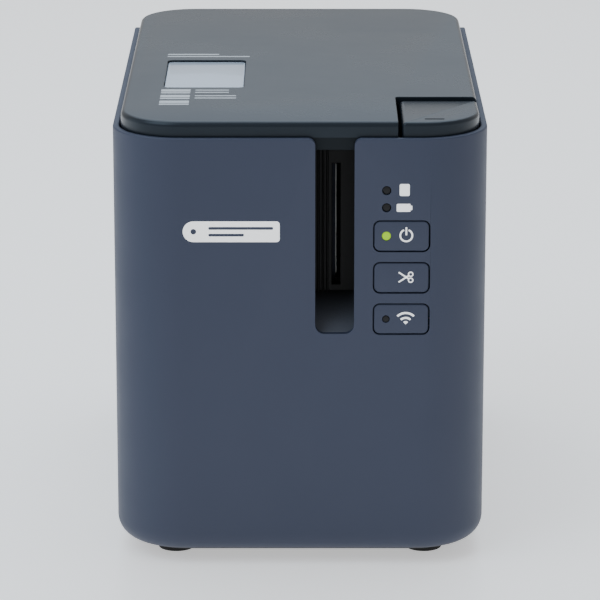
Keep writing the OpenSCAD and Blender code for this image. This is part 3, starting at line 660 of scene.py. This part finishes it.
def make_finishes(scene):
    """Every finish of the record, by slot."""
    slate, grey = tuple(scene.maker_housing.colour), tuple(scene.maker_lid.colour)
    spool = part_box("tape_roll")
    middle = ((spool[0].x + spool[1].x) / 2, (spool[0].y + spool[1].y) / 2)
    return {
        "housing_plastic": moulded("housing_slate", slate, 0.5, 2300, 0.02 * MM, 0.03, 0.3),
        "lid_plastic": lid_finish("lid_grey", grey),
        "dark_plastic": moulded("charcoal_plastic", (0.022, 0.024, 0.029), 0.5, 1500, 0.05 * MM),
        "black_plastic": chute_black("chute_black"),
        "natural_plastic": moulded("frame_grey", (0.10, 0.105, 0.115), 0.44, 1200, 0.04 * MM),
        "gear_plastic": moulded("gear_acetal", (0.72, 0.70, 0.64), 0.3, 900, 0.01 * MM, 0.03),
        "foot_rubber": rubber("foot_rubber", (0.012, 0.012, 0.013)),
        "roller_rubber": rubber("roller_rubber", (0.02, 0.02, 0.021), 2600),
        "steel": plated("zinc_plate", (0.60, 0.61, 0.62), 0.34),
        "blade_steel": blued("blued_blade"),
        "brass": brushed("turned_brass", (0.72, 0.50, 0.20), 0.28, (1, 1, 0.2)),
        "aluminium": brushed("extruded_aluminium", (0.74, 0.75, 0.77), 0.38, (1, 1, 0.08)),
        "head_ceramic": moulded("head_ceramic", (0.50, 0.44, 0.34), 0.22, 1800, 0.005 * MM),
        "board": circuit_board("green_board", (0.008, 0.07, 0.03)),
        "cassette_plastic": moulded("cassette_black", (0.018, 0.019, 0.022), 0.3, 1300),
        "label_paper": printed_paper("cassette_paper", (0.80, 0.80, 0.76), (0.03, 0.09, 0.2),
                                     18 * MM, 0.28),
        "ribbon_film": wound_edge("wound_ribbon", (0.02, 0.02, 0.024), (0.004, 0.004, 0.005),
                                  0.6 * MM, middle),
        # Light grey-blue: a painted reflection of the white surroundings on the window
        "window_clear": pane("window_painted_reflection", (0.58, 0.66, 0.77)),
        "lens_green": lamp("lit_green", (0.12, 0.30, 0.0), tuple(scene.maker_keys.lamp), 0.7),
        "lens_dark": lamp("smoked_lens", (0.006, 0.006, 0.007), (0, 0, 0), 0.0),
        # The white ink's glow of 0.5 is painted light, since the ink is no lamp
        "ink": printed_ink("white_ink_painted_glow", (0.93, 0.94, 0.95), 0.5),
        "faded_ink": printed_ink("silver_ink", (0.55, 0.58, 0.61), 0.0),
        "black_steel": plated("blackened_steel", (0.05, 0.05, 0.053), 0.42),
        "board_blue": circuit_board("blue_board", (0.01, 0.04, 0.14)),
        "tape": printed_paper("plain_tape", (0.82, 0.82, 0.79)),
        "roll": wound_edge("wound_tape", (0.78, 0.78, 0.74), (0.5, 0.5, 0.47), 0.7 * MM,
                           middle),
    }


FINISHES = {}


def finish(name):
    """The finish of that name, made once for the whole printer."""
    if not FINISHES:
        FINISHES.update(make_finishes(bpy.context.scene))
    return FINISHES[name]


# ---------------------------------------------------------------- shapes used by the pieces

def shell_outline(sizes, back):
    """The housing seen from above: up both sides and round the front, open at the back."""
    x, r = HOUSING[1].x, sizes.corner
    return np.concatenate([[[-x, back]], arc(-x + r, FRONT + r, r, 180, 270, 20),
                           arc(x - r, FRONT + r, r, 270, 360, 20), [[x, back]]])


def slot_outline(sizes, rim):
    """The label slot seen from the front: round at its foot, flared where it meets the rim,
    and open past the rim."""
    half, c, f = sizes.slot_width / 2, sizes.slot_corner, sizes.slot_flare
    x0, x1, foot = sizes.slot_middle - half, sizes.slot_middle + half, rim - sizes.slot_height
    return np.concatenate([
        arc(x0 + c, foot + c, c, 180, 270, 8), arc(x1 - c, foot + c, c, 270, 360, 8),
        arc(x1 + f, rim - f, f, 180, 90, 8), [[x1 + f, rim + f], [x0 - f, rim + f]],
        arc(x0 - f, rim - f, f, 90, 0, 8)])


def on_front(x, z, out):
    """As facing, but the depth is counted outwards from the housing's face, which curves back
    round its corners: the radius less the root of its square less the distance past the start
    of the corner squared."""
    r = bpy.context.scene.maker_housing.corner
    past = np.maximum(np.abs(x) - (HOUSING[1].x - r), 0)
    return np.stack([x, FRONT - out + r - np.sqrt(r * r - past * past), z], -1)


def on_lid(x, y, height):
    """As upright, but the height is counted from the lid's top."""
    return np.stack([x, y, LID_TOP + height], -1)


def circle(x, z, radius, count=32):
    """Points evenly round a circle."""
    return arc(x, z, radius, 0, 360, count)[:-1]


def rectangle(x0, x1, y0, y1):
    """The four corners of a rectangle."""
    return np.array([[x0, y0], [x1, y0], [x1, y1], [x0, y1]])


def block(x0, x1, y0, y1, z0, z1):
    """A plain block."""
    return prism("block", rectangle(x0, x1, y0, y1), z0, z1, upright)


def stroke(path, width, low, high, closed=False):
    """A flat line of that width along a path on the front, between two heights."""
    profile = rectangle(-width / 2, width / 2, low, high)
    return swept("stroke", np.array(path, float), profile, on_front, closed)


def printed(name, body, parts, ink="ink"):
    """Joins the parts of a mark and prints it on a body."""
    mark = joined(name, parts)
    mark.data.set_sharp_from_angle(angle=math.radians(30))
    mark.data.materials.append(finish(ink))
    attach(mark, body)


def softened(node, body, finish_name, width):
    """A CAD piece carried over with soft edges: its loose triangles are merged and its flat
    faces joined first."""
    work = bmesh.new()
    work.from_mesh(frame["nodes"][node].data)
    bmesh.ops.remove_doubles(work, verts=work.verts, dist=2e-6)
    bmesh.ops.dissolve_limit(work, angle_limit=0.02, verts=work.verts, edges=work.edges)
    mesh = bpy.data.meshes.new(node)
    work.to_mesh(mesh)
    work.free()
    copy = bpy.data.objects.new(node, mesh)
    made = soften(joined(node + "_soft", [copy]), width, angle=35)
    settle(made, body, finish(finish_name), [node])


# ---------------------------------------------------------------- the pieces

class MAKER_OT_housing(bpy.types.Operator):
    """Builds the housing: a U-shaped shell with the label slot, key windows and lamp holes"""
    bl_idname = "maker.housing"
    bl_label = "Housing"

    def execute(self, context):
        sizes, keys = context.scene.maker_housing, context.scene.maker_keys
        low, high = HOUSING[0].z, HOUSING[1].z
        reach = sizes.wall + sizes.lip
        turn = fillet(sizes.bottom, 10)[::-1]
        top = fillet(sizes.rim, 4)
        profile = np.concatenate([
            [[reach, low]],
            np.stack([turn[:, 0], low + turn[:, 1]], 1),
            np.stack([top[:, 0], high - top[:, 1]], 1),
            np.stack([sizes.wall - top[::-1, 0], high - top[::-1, 1]], 1),
            [[sizes.wall, low + sizes.wall], [reach, low + sizes.wall]]])
        outline = shell_outline(sizes, HOUSING[1].y)
        shell = swept("housing_shell", outline, profile, upright, False)
        holes = [slot_outline(sizes, high)]
        for node in ("power_button", "cut_button", "wifi_button"):
            x0, x1, z0, z1 = cap_sides(node, keys)
            holes.append(rounded(x0 - keys.gap, x1 + keys.gap, z0 - keys.gap, z1 + keys.gap,
                                 keys.corner + keys.gap, 8))
        holes += [circle(x, z, radius + LENS_PLAY) for x, z, radius in status_places()]
        carve(shell, [prism("hole", hole, FRONT - PAST, FRONT + sizes.wall + PAST, facing)
                      for hole in holes])
        soften(shell, sizes.edge, 3)
        settle(shell, "housing", finish("housing_plastic"),
               ["main_housing"])
        return {"FINISHED"}


def cap_sides(node, keys):
    """Left, right, bottom and top of a front key's cap, inside its flange."""
    low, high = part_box(node)
    return (low.x + keys.flange, high.x - keys.flange, low.z + keys.flange,
            high.z - keys.flange)


def status_places():
    """The two status lamps: x, z and radius."""
    low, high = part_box("status_lenses")
    r = (high.x - low.x) / 2
    return [(low.x + r, high.z - r, r), (low.x + r, low.z + r, r)]


class MAKER_OT_lid(bpy.types.Operator):
    """Builds the lid with its skirt, its notch for the release button, and its hinge arms"""
    bl_idname = "maker.lid"
    bl_label = "Lid"

    def execute(self, context):
        sizes = context.scene.maker_lid
        t, top, under = sizes.thickness, LID_TOP, LID_TOP - sizes.thickness
        outline = footprint(LID, 0, sizes.corner, 20)
        turn = fillet(sizes.edge, 8)
        profile = np.concatenate([[[0.0, LID[0].z]],
                                  np.stack([turn[:, 0], top - turn[:, 1]], 1)])
        lid = lofted("lid_shell", outline, profile, upright)
        cavity = footprint(LID, t, sizes.corner - t, 16)
        x, y = RELEASE[0].x - sizes.notch_gap, RELEASE[1].y + sizes.notch_gap
        side, front = LID[1].x + PAST, LID[0].y - PAST
        notch = np.concatenate([[[x, front], [side, front], [side, y]],
                                arc(x + MM, y - MM, MM, 90, 180, 6)])
        pane = footprint(PANE, sizes.window_rim, 2 * MM, 6)
        carve(lid, [
            block(-side, side, front, sizes.skirt_back, LID[0].z - PAST,
                  RELEASE_SKIRT),
            prism("cavity", cavity, LID[0].z - 2 * PAST, under, upright),
            prism("notch", notch, LID[0].z - 3 * PAST, top + PAST, upright),
            prism("pane", pane, under - PAST, top + 2 * PAST, upright)])
        soften(lid, 0.3 * MM, 3)
        settle(lid, "lid", finish("lid_plastic"), ["top_cover"])

        bite = 0.2 * MM
        root, wall = under + bite, LID[0].x + t
        walls = [block(x - t, x, LID[0].y + t / 2, y + t, RELEASE_SKIRT, root),
                 block(x - t, LID[1].x - t / 2, y, y + t, RELEASE_SKIRT, root)]
        for row in range(3):
            place = sizes.rib_back - row * sizes.rib_pitch
            walls.append(block(wall - bite, wall + 5 * MM, place, place + 1.2 * MM,
                               under - 3 * MM, root))
        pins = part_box("hinge_pins")
        axis, r, reach = middle(pins), sizes.arm_radius, pins[1].x
        arm = np.concatenate([arc(axis.y, axis.z, r, 180, 360, 20),
                              [[axis.y + r, root], [axis.y - r, root]]])
        walls += [prism("arm", arm, -reach, sizes.arm_width - reach, sideways),
                  prism("arm", arm, reach - sizes.arm_width, reach, sideways)]
        ribs = soften(joined("lid_ribs_and_arms", walls), bite)
        settle(ribs, "lid", finish("lid_plastic"), ["top_cover"])
        return {"FINISHED"}


class MAKER_OT_window(bpy.types.Operator):
    """Builds the lid's window with the flange that holds it from below"""
    bl_idname = "maker.window"
    bl_label = "Window"

    def execute(self, context):
        sizes = context.scene.maker_lid
        flange = footprint(PANE, 0, 3 * MM, 6)
        face = footprint(PANE, sizes.window_rim + 0.1 * MM, 1.9 * MM, 8)
        low = PANE[0].z
        pane = joined("window_pane", [
            prism("flange", flange, low, low + 0.8 * MM, upright),
            prism("face", face, low + 0.7 * MM, PANE[1].z, upright, 0.35 * MM)])
        pane.data.set_sharp_from_angle(angle=math.radians(40))
        settle(pane, "lid", finish("window_clear"), ["cover_window"])
        return {"FINISHED"}


class MAKER_OT_release(bpy.types.Operator):
    """Builds the release button: a shallow cup with a sloping top, a stem and a sunk dash"""
    bl_idname = "maker.release"
    bl_label = "Release button"

    def execute(self, context):
        sizes = context.scene.maker_lid
        low, high = RELEASE_SKIRT + 0.4 * MM, LID[1].z - 0.2 * MM

        def sloping(x, y, height):
            """Upright, with the upper part falling to the back by the slope."""
            fall = np.where(height > high - 3 * MM, (y - RELEASE[0].y) * sizes.slope, 0)
            return np.stack([x, y, height - fall], -1)

        outline = footprint(RELEASE, 0, [1.2 * MM, sizes.corner, 1.2 * MM, 1.8 * MM], 16)
        cup = prism("release_button_cap", outline, low, high, sloping, 1.3 * MM)
        inner = footprint(RELEASE, 2 * MM, [MM, sizes.corner - 2 * MM, MM, MM], 12)
        x, y = RELEASE[0].x + 7.2 * MM, RELEASE[0].y + 5.2 * MM
        dash = rounded(x, x + 6.2 * MM, y, y + 1.3 * MM, 0.3 * MM, 4)
        carve(cup, [prism("inner", inner, low - PAST, high - 2.5 * MM, upright),
                    prism("dash", dash, high - 1.6 * MM, high + PAST, upright)])
        soften(cup, 0.12 * MM)
        settle(cup, "release", finish("lid_plastic"), ["release_button"])

        x, y, _ = middle(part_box("release_spring"))
        half, foot, root = 4 * MM, RELEASE[0].z, high - 2.7 * MM
        side = np.array([[y - half, foot], [y + MM, foot], [y + half, foot + half - MM],
                         [y + half, root], [y - half, root]])
        stem = soften(prism("release_stem", side, x - half, x + half, sideways), 0.25 * MM)
        settle(stem, "release", finish("lid_plastic"), ["release_button"])
        return {"FINISHED"}


class MAKER_OT_spring(bpy.types.Operator):
    """Winds the spring under the release button"""
    bl_idname = "maker.spring"
    bl_label = "Release spring"

    def execute(self, context):
        """A tube along a helix: the helix turns evenly while it climbs, slower at both ends,
        and each ring of the tube lies in the plane of the radius and the axis."""
        low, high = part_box("release_spring")
        wire, turns = 0.45 * MM, 4
        x, y, _ = middle((low, high))
        r = (high.x - low.x) / 2 - wire
        t = np.linspace(0, 1, turns * 28 + 1)[:, None]
        a = 2 * math.pi * turns * t
        b = np.linspace(0, 2 * math.pi, 10, endpoint=False)[None, :]
        rise = t - np.sin(2 * math.pi * t) * 0.06
        out = r + wire * np.cos(b)
        points = np.stack([x + out * np.cos(a), y + out * np.sin(a),
                           low.z + wire + (high.z - low.z - 2 * wire) * rise
                           + wire * np.sin(b)], -1)
        shape = points.shape[:2]
        spring = piece("release_spring_coil", points, grid_faces(*shape, False, True),
                       end_rows(*shape))
        settle(spring, "housing", finish("steel"), ["release_spring"])
        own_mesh(spring)
        return {"FINISHED"}


class MAKER_OT_keys(bpy.types.Operator):
    """Builds the three front keys, whose faces follow the housing's corner"""
    bl_idname = "maker.keys"
    bl_label = "Front keys"

    def execute(self, context):
        sizes = context.scene.maker_keys
        deep = sizes.depth
        for node, body, lens in (("power_button", "power_key", "power_lens"),
                                 ("cut_button", "cut_key", None),
                                 ("wifi_button", "wifi_key", "wifi_lens")):
            x0, x1, z0, z1 = cap_sides(node, sizes)
            r = sizes.corner
            cap = prism(node + "_cap", rounded(x0, x1, z0, z1, r, 8), -deep, -sizes.sunk,
                        on_front, sizes.edge)
            if lens:
                low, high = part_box(lens)
                hole = circle((low.x + high.x) / 2, (low.z + high.z) / 2,
                              (high.x - low.x) / 2 + LENS_PLAY)
                carve(cap, [prism("hole", hole, FRONT - PAST, high.y + 2 * PAST, facing)])
            soften(cap, 0.12 * MM)
            settle(cap, body, finish("housing_plastic"), [node])
            over = sizes.flange
            x, z = (x0 + x1) / 2, (z0 + z1) / 2
            flange = joined(node + "_flange", [
                prism("flange", rounded(x0 - over, x1 + over - 1.2 * MM, z0 - over, z1 + over,
                                        r + over, 8), -deep, -deep + 0.8 * MM, on_front),
                prism("stem", circle(x, z, 2.4 * MM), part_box(node)[1].y, FRONT + deep,
                      facing)])
            soften(flange, 0.15 * MM)
            settle(flange, body, finish("housing_plastic"), [node])
        return {"FINISHED"}


class MAKER_OT_lamps(bpy.types.Operator):
    """Builds the four small lenses, slightly domed, of which the power lamp is lit"""
    bl_idname = "maker.lamps"
    bl_label = "Lamps"

    def execute(self, context):
        places = [(x, z, r, "status_lenses", "housing", "lens_dark", 0.5 * MM)
                  for x, z, r in status_places()]
        for node, body, slot in (("power_lens", "power_key", "lens_green"),
                                 ("wifi_lens", "wifi_key", "lens_dark")):
            low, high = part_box(node)
            places.append(((low.x + high.x) / 2, (low.z + high.z) / 2, (high.x - low.x) / 2,
                           node, body, slot, 0.3 * MM))
        for number, (x, z, r, node, body, slot, sunk) in enumerate(places):
            lens = prism(f"{node}_dome_{number}", circle(x, z, r), -2.7 * MM, -sunk, on_front,
                         0.35 * MM)
            lens.data.set_sharp_from_angle(angle=math.radians(60))
            settle(lens, body, finish(slot), [node])
        return {"FINISHED"}


class MAKER_OT_symbols(bpy.types.Operator):
    """Prints the plain symbols: a square, a cell, power, scissors, radio arcs, and a tag"""
    bl_idname = "maker.symbols"
    bl_label = "Front symbols"

    def execute(self, context):
        sizes = context.scene.maker_keys
        x, ink, on = sizes.symbol_x, sizes.ink, -sizes.sunk
        off = on + ink

        z, r = middle(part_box("power_button")).z + 0.25 * MM, 1.9 * MM
        printed("power_symbol", "power_key", [
            stroke(arc(x, z, r, 112, 428, 36), 0.52 * MM, on, off),
            stroke([[x, z + 0.1 * MM], [x, z + 1.4 * r]], 0.52 * MM, on, off)])

        z, u = middle(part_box("cut_button")).z + 0.2 * MM, 0.92 * MM
        rings = [stroke(circle(x + 1.6 * u, z + side * 1.05 * u, 0.75 * u, 24), 0.42 * u, on,
                        off, True) for side in (-1, 1)]
        blades = [stroke([[x - 2.5 * u, z - side * 1.75 * u], [x + 1.0 * u, z + side * 0.6 * u]],
                         0.52 * u, on, off) for side in (-1, 1)]
        printed("scissors_symbol", "cut_key", rings + blades)

        z = cap_sides("wifi_button", sizes)[2] + 3.1 * MM
        fan = np.concatenate([[[x, z]], arc(x, z, 1.1 * MM, 46, 134, 8)])
        waves = [stroke(arc(x, z, r, 46, 134, 20), 0.65 * MM, on, off)
                 for r in (2.15 * MM, 3.75 * MM)]
        printed("radio_symbol", "wifi_key", [prism("fan", fan, on, off, on_front), *waves])

        (_, upper, _), (_, lower, _) = status_places()
        page = rounded(x - 2.2 * MM, x + 0.95 * MM, upper - 1.7 * MM, upper + 2.15 * MM,
                       0.5 * MM, 5)
        printed("status_symbols", "housing", [
            prism("page", page, 0, ink, on_front),
            prism("cell", cell_outline(x - 3.1 * MM, x + 1.2 * MM, lower, 1.28 * MM), 0, ink,
                  on_front)])
        printed("tag_mark", "housing", [tag(sizes)])
        return {"FINISHED"}


def cell_outline(left, right, z, half):
    """An upright battery cell on its side: a block round at the left, with a nub at the right."""
    r = 0.4 * MM
    return np.concatenate([
        arc(left + r, z - half + r, r, 180, 270, 4),
        [[right, z - half], [right, z - 0.6 * half], [right + 0.6 * MM, z - 0.5 * half],
         [right + 0.6 * MM, z + 0.5 * half], [right, z + 0.6 * half], [right, z + half]],
        arc(left + r, z + half - r, r, 90, 180, 4)])


def tag(sizes):
    """A plain tag, round at its left end, with a hole for a string and two bars left out."""
    x0, x1, z0, z1 = sizes.tag_left, sizes.tag_right, sizes.tag_low, sizes.tag_high
    tip, z = (z1 - z0) / 2, (z0 + z1) / 2
    start, room = x0 + 2.4 * tip, x1 - 2 * MM - x0 - 2.4 * tip
    holes = [circle(x0 + tip, z, 0.9 * MM)]
    for share, middle_z in ((1.0, z + 1.1 * MM), (0.55, z - 1.1 * MM)):
        holes.append(rounded(start, start + room * share, middle_z - 0.45 * MM,
                             middle_z + 0.45 * MM, 0.4 * MM, 4))
    made = prism("tag_symbol", rounded(x0, x1, z0, z1, [tip, MM, MM, tip]), 0, sizes.ink,
                 on_front)
    return carve(made, [prism("hole", hole, FRONT - PAST, FRONT + PAST, facing)
                        for hole in holes])


class MAKER_OT_lid_print(bpy.types.Operator):
    """Prints the lid's plain bars: three blocks, thin lines beside them, and an underline"""
    bl_idname = "maker.lid_print"
    bl_label = "Lid print"

    def execute(self, context):
        sizes = context.scene.maker_lid
        left, front = PANE[0].x + sizes.window_rim, PANE[0].y + sizes.window_rim
        back = PANE[1].y - sizes.window_rim

        def bar(x0, x1, y0, y1):
            """A printed bar, from millimetres right of the window's left side to a depth."""
            outline = rounded(left + x0 * MM, left + x1 * MM, y0, y1, 0.3 * MM, 3)
            return prism("bar", outline, -0.005 * MM, 0.02 * MM, on_lid)

        bars = []
        for row in range(3):
            y = front - 3.3 * MM - row * 8.6 * MM
            bars += [bar(-0.5, 9, y - 6.2 * MM, y - 4.4 * MM), bar(-0.5, 9, y - 3.6 * MM, y)]
            for line in range(2 if row < 2 else 0):
                top = y - 0.6 * MM - line * 3.4 * MM
                bars.append(bar(10.6, 21.5 + 2.5 * row, top - 1.3 * MM, top))
        bars += [bar(-0.4, 27.5, back + 5.2 * MM, back + 6.6 * MM),
                 bar(-0.4, 17, back + 8.6 * MM, back + 10.2 * MM)]
        printed("lid_bars", "lid", bars, "faded_ink")
        return {"FINISHED"}


class MAKER_OT_feet(bpy.types.Operator):
    """Turns the four rubber feet, with a rounded edge and a shallow dish beneath"""
    bl_idname = "maker.feet"
    bl_label = "Feet"

    def execute(self, context):
        low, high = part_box("feet")
        r = context.scene.maker_housing.foot
        # From the middle of the dish over its lip and round the edge to the top
        radii = np.array([0.08, 0.7, 0.75, 0.9, 0.975, 1.0, 1.0]) * r
        heights = np.array([0.35 * MM, 0.35 * MM, 0, 0, 0.12 * MM, 0.4 * MM, high.z])
        feet = joined("rubber_feet", [turned("foot", radii, heights, x, y) for x in
                                      (low.x + r, high.x - r) for y in (low.y + r, high.y - r)])
        feet.data.set_sharp_from_angle(angle=math.radians(50))
        settle(feet, "housing", finish("foot_rubber"), ["feet"])
        return {"FINISHED"}


# Rounding, in millimetres, of the pieces whose edges are softened
SOFT_EDGES = {
    "rear_cover": 0.5, "base_plate": 0.4, "terminal_cover": 0.25, "base_screws": 0.15,
    "rear_screws": 0.15, "cover_catch": 0.25, "hinge_pins": 0.2, "latch_slider": 0.25,
    "chassis": 0.3, "hinge_brackets": 0.3, "deck_cover": 0.3, "exit_chute": 0.25,
    "cassette_case_lower": 0.3, "cassette_case_upper": 0.4, "head_heat_sink": 0.12,
    "print_head": 0.05, "roller_holder": 0.3, "platen_roller": 0.25, "pinch_roller": 0.25,
    "gear_plate": 0.15, "feed_motor": 0.4, "cutter_frame": 0.12, "fixed_blade": 0.05,
    "moving_blade": 0.08, "cutter_motor": 0.3, "wireless_module": 0.12, "dc_jack": 0.2,
    "usb_ports": 0.15, "lan_port": 0.15, "serial_port": 0.2, "tact_switches": 0.12,
    "panel_board": 0.1, "main_board": 0.12}

# Pieces whose look differs from the rest of their slot
FINISH_OF = {"tape_roll": "roll", "label_tape": "tape", "wireless_module": "board_blue",
             "cutter_frame": "black_steel"}


class MAKER_OT_carried(bpy.types.Operator):
    """Carries the remaining pieces over from the CAD with soft edges and their finishes"""
    bl_idname = "maker.carried"
    bl_label = "Frame and drive"

    def execute(self, context):
        bodies = {node: body for body, nodes in frame["record"]["behaviour"]["bodies"].items()
                  for node in nodes}
        slots = {part["node"]: part["material_slot"]
                 for part in frame["record"]["subparts"]}
        for node, width in SOFT_EDGES.items():
            slot = slots[node]
            softened(node, bodies[node], FINISH_OF.get(node, slot), width * MM)
        for node, made in frame["nodes"].items():
            if not made.hide_render:
                made.data.materials.clear()
                made.data.materials.append(finish(FINISH_OF.get(node, slots[node])))
        return {"FINISHED"}


class MAKER_OT_stage(bpy.types.Operator):
    """Sets the pale floor, the soft studio lights and the camera"""
    bl_idname = "maker.stage"
    bl_label = "Stage"

    def execute(self, context):
        sizes, scene = context.scene.maker_stage, context.scene
        floor = piece("floor", np.array([[-4, -4, 0], [4, -4, 0], [4, 6, 0], [-4, 6, 0.0]]),
                      np.array([[0, 1, 2, 3]]))
        floor.data.materials.append(floor_finish(tuple(sizes.floor), sizes.glow))

        world = bpy.data.worlds.new("studio")
        world.use_nodes = True
        shade_node = world.node_tree.nodes["Background"]
        shade_node.inputs["Color"].default_value = (1, 1, 1, 1)
        shade_node.inputs["Strength"].default_value = sizes.world
        scene.world = world

        for name, power, colour, width, place, turn in (
                ("key_light", sizes.key, sizes.cool, 0.9, (-0.7, -0.5, 1.1), (35, 0, -50)),
                ("top_light", sizes.top, sizes.cool, 1.2, (0.0, 0.45, 1.2), (-25, 0, 0)),
                ("back_light", sizes.back, sizes.sky, 1.5, (0.0, 2.2, 1.34), (-62, 0, 0)),
                ("left_light", sizes.left, sizes.cool, 0.7, (-1.1, 0.15, 0.35), (90, 0, -98))):
            lamp_data = bpy.data.lights.new(name, "AREA")
            lamp_data.energy, lamp_data.size = power, width
            lamp_data.color = colour
            made = bpy.data.objects.new(name, lamp_data)
            made.location = place
            made.rotation_euler = [math.radians(a) for a in turn]
            scene.collection.objects.link(made)

        lens = bpy.data.cameras.new("camera")
        lens.lens, lens.sensor_width = sizes.lens, 36
        lens.clip_start = 0.05
        camera = bpy.data.objects.new("camera", lens)
        camera.location = (0, FRONT - sizes.distance, sizes.height)
        camera.rotation_euler = (math.pi / 2 - sizes.pitch, 0, 0)
        scene.collection.objects.link(camera)
        scene.camera = camera
        return {"FINISHED"}


class MAKER_PT_panel(bpy.types.Panel):
    """The pieces and the stage, in the order in which they are built"""
    bl_label = "Label Maker"
    bl_idname = "MAKER_PT_panel"
    bl_space_type = "VIEW_3D"
    bl_region_type = "UI"
    bl_category = "Label Maker"

    def draw(self, context):
        for operator in OPERATORS:
            self.layout.operator(operator.bl_idname)
        for group in GROUPS:
            box = self.layout.box()
            for name in GROUPS[group].__annotations__:
                box.prop(getattr(context.scene, group), name)


GROUPS = {"maker_housing": HousingSizes, "maker_lid": LidSizes, "maker_keys": KeySizes,
          "maker_stage": StageSizes}
OPERATORS = [MAKER_OT_housing, MAKER_OT_lid, MAKER_OT_window, MAKER_OT_release,
             MAKER_OT_spring, MAKER_OT_keys, MAKER_OT_lamps, MAKER_OT_symbols,
             MAKER_OT_lid_print, MAKER_OT_feet, MAKER_OT_carried, MAKER_OT_stage]


def register():
    """Registers the groups, the operators and the panel."""
    for kind in (*GROUPS.values(), *OPERATORS, MAKER_PT_panel):
        bpy.utils.register_class(kind)
    for name, kind in GROUPS.items():
        setattr(bpy.types.Scene, name, bpy.props.PointerProperty(type=kind))


def unregister():
    """Undoes what register does."""
    for name in GROUPS:
        delattr(bpy.types.Scene, name)
    for kind in (MAKER_PT_panel, *reversed(OPERATORS), *GROUPS.values()):
        bpy.utils.unregister_class(kind)


def main():
    """Builds everything in order."""
    register()
    for operator in OPERATORS:
        group, name = operator.bl_idname.split(".")
        getattr(getattr(bpy.ops, group), name)()


if __name__ == "__main__":
    main()
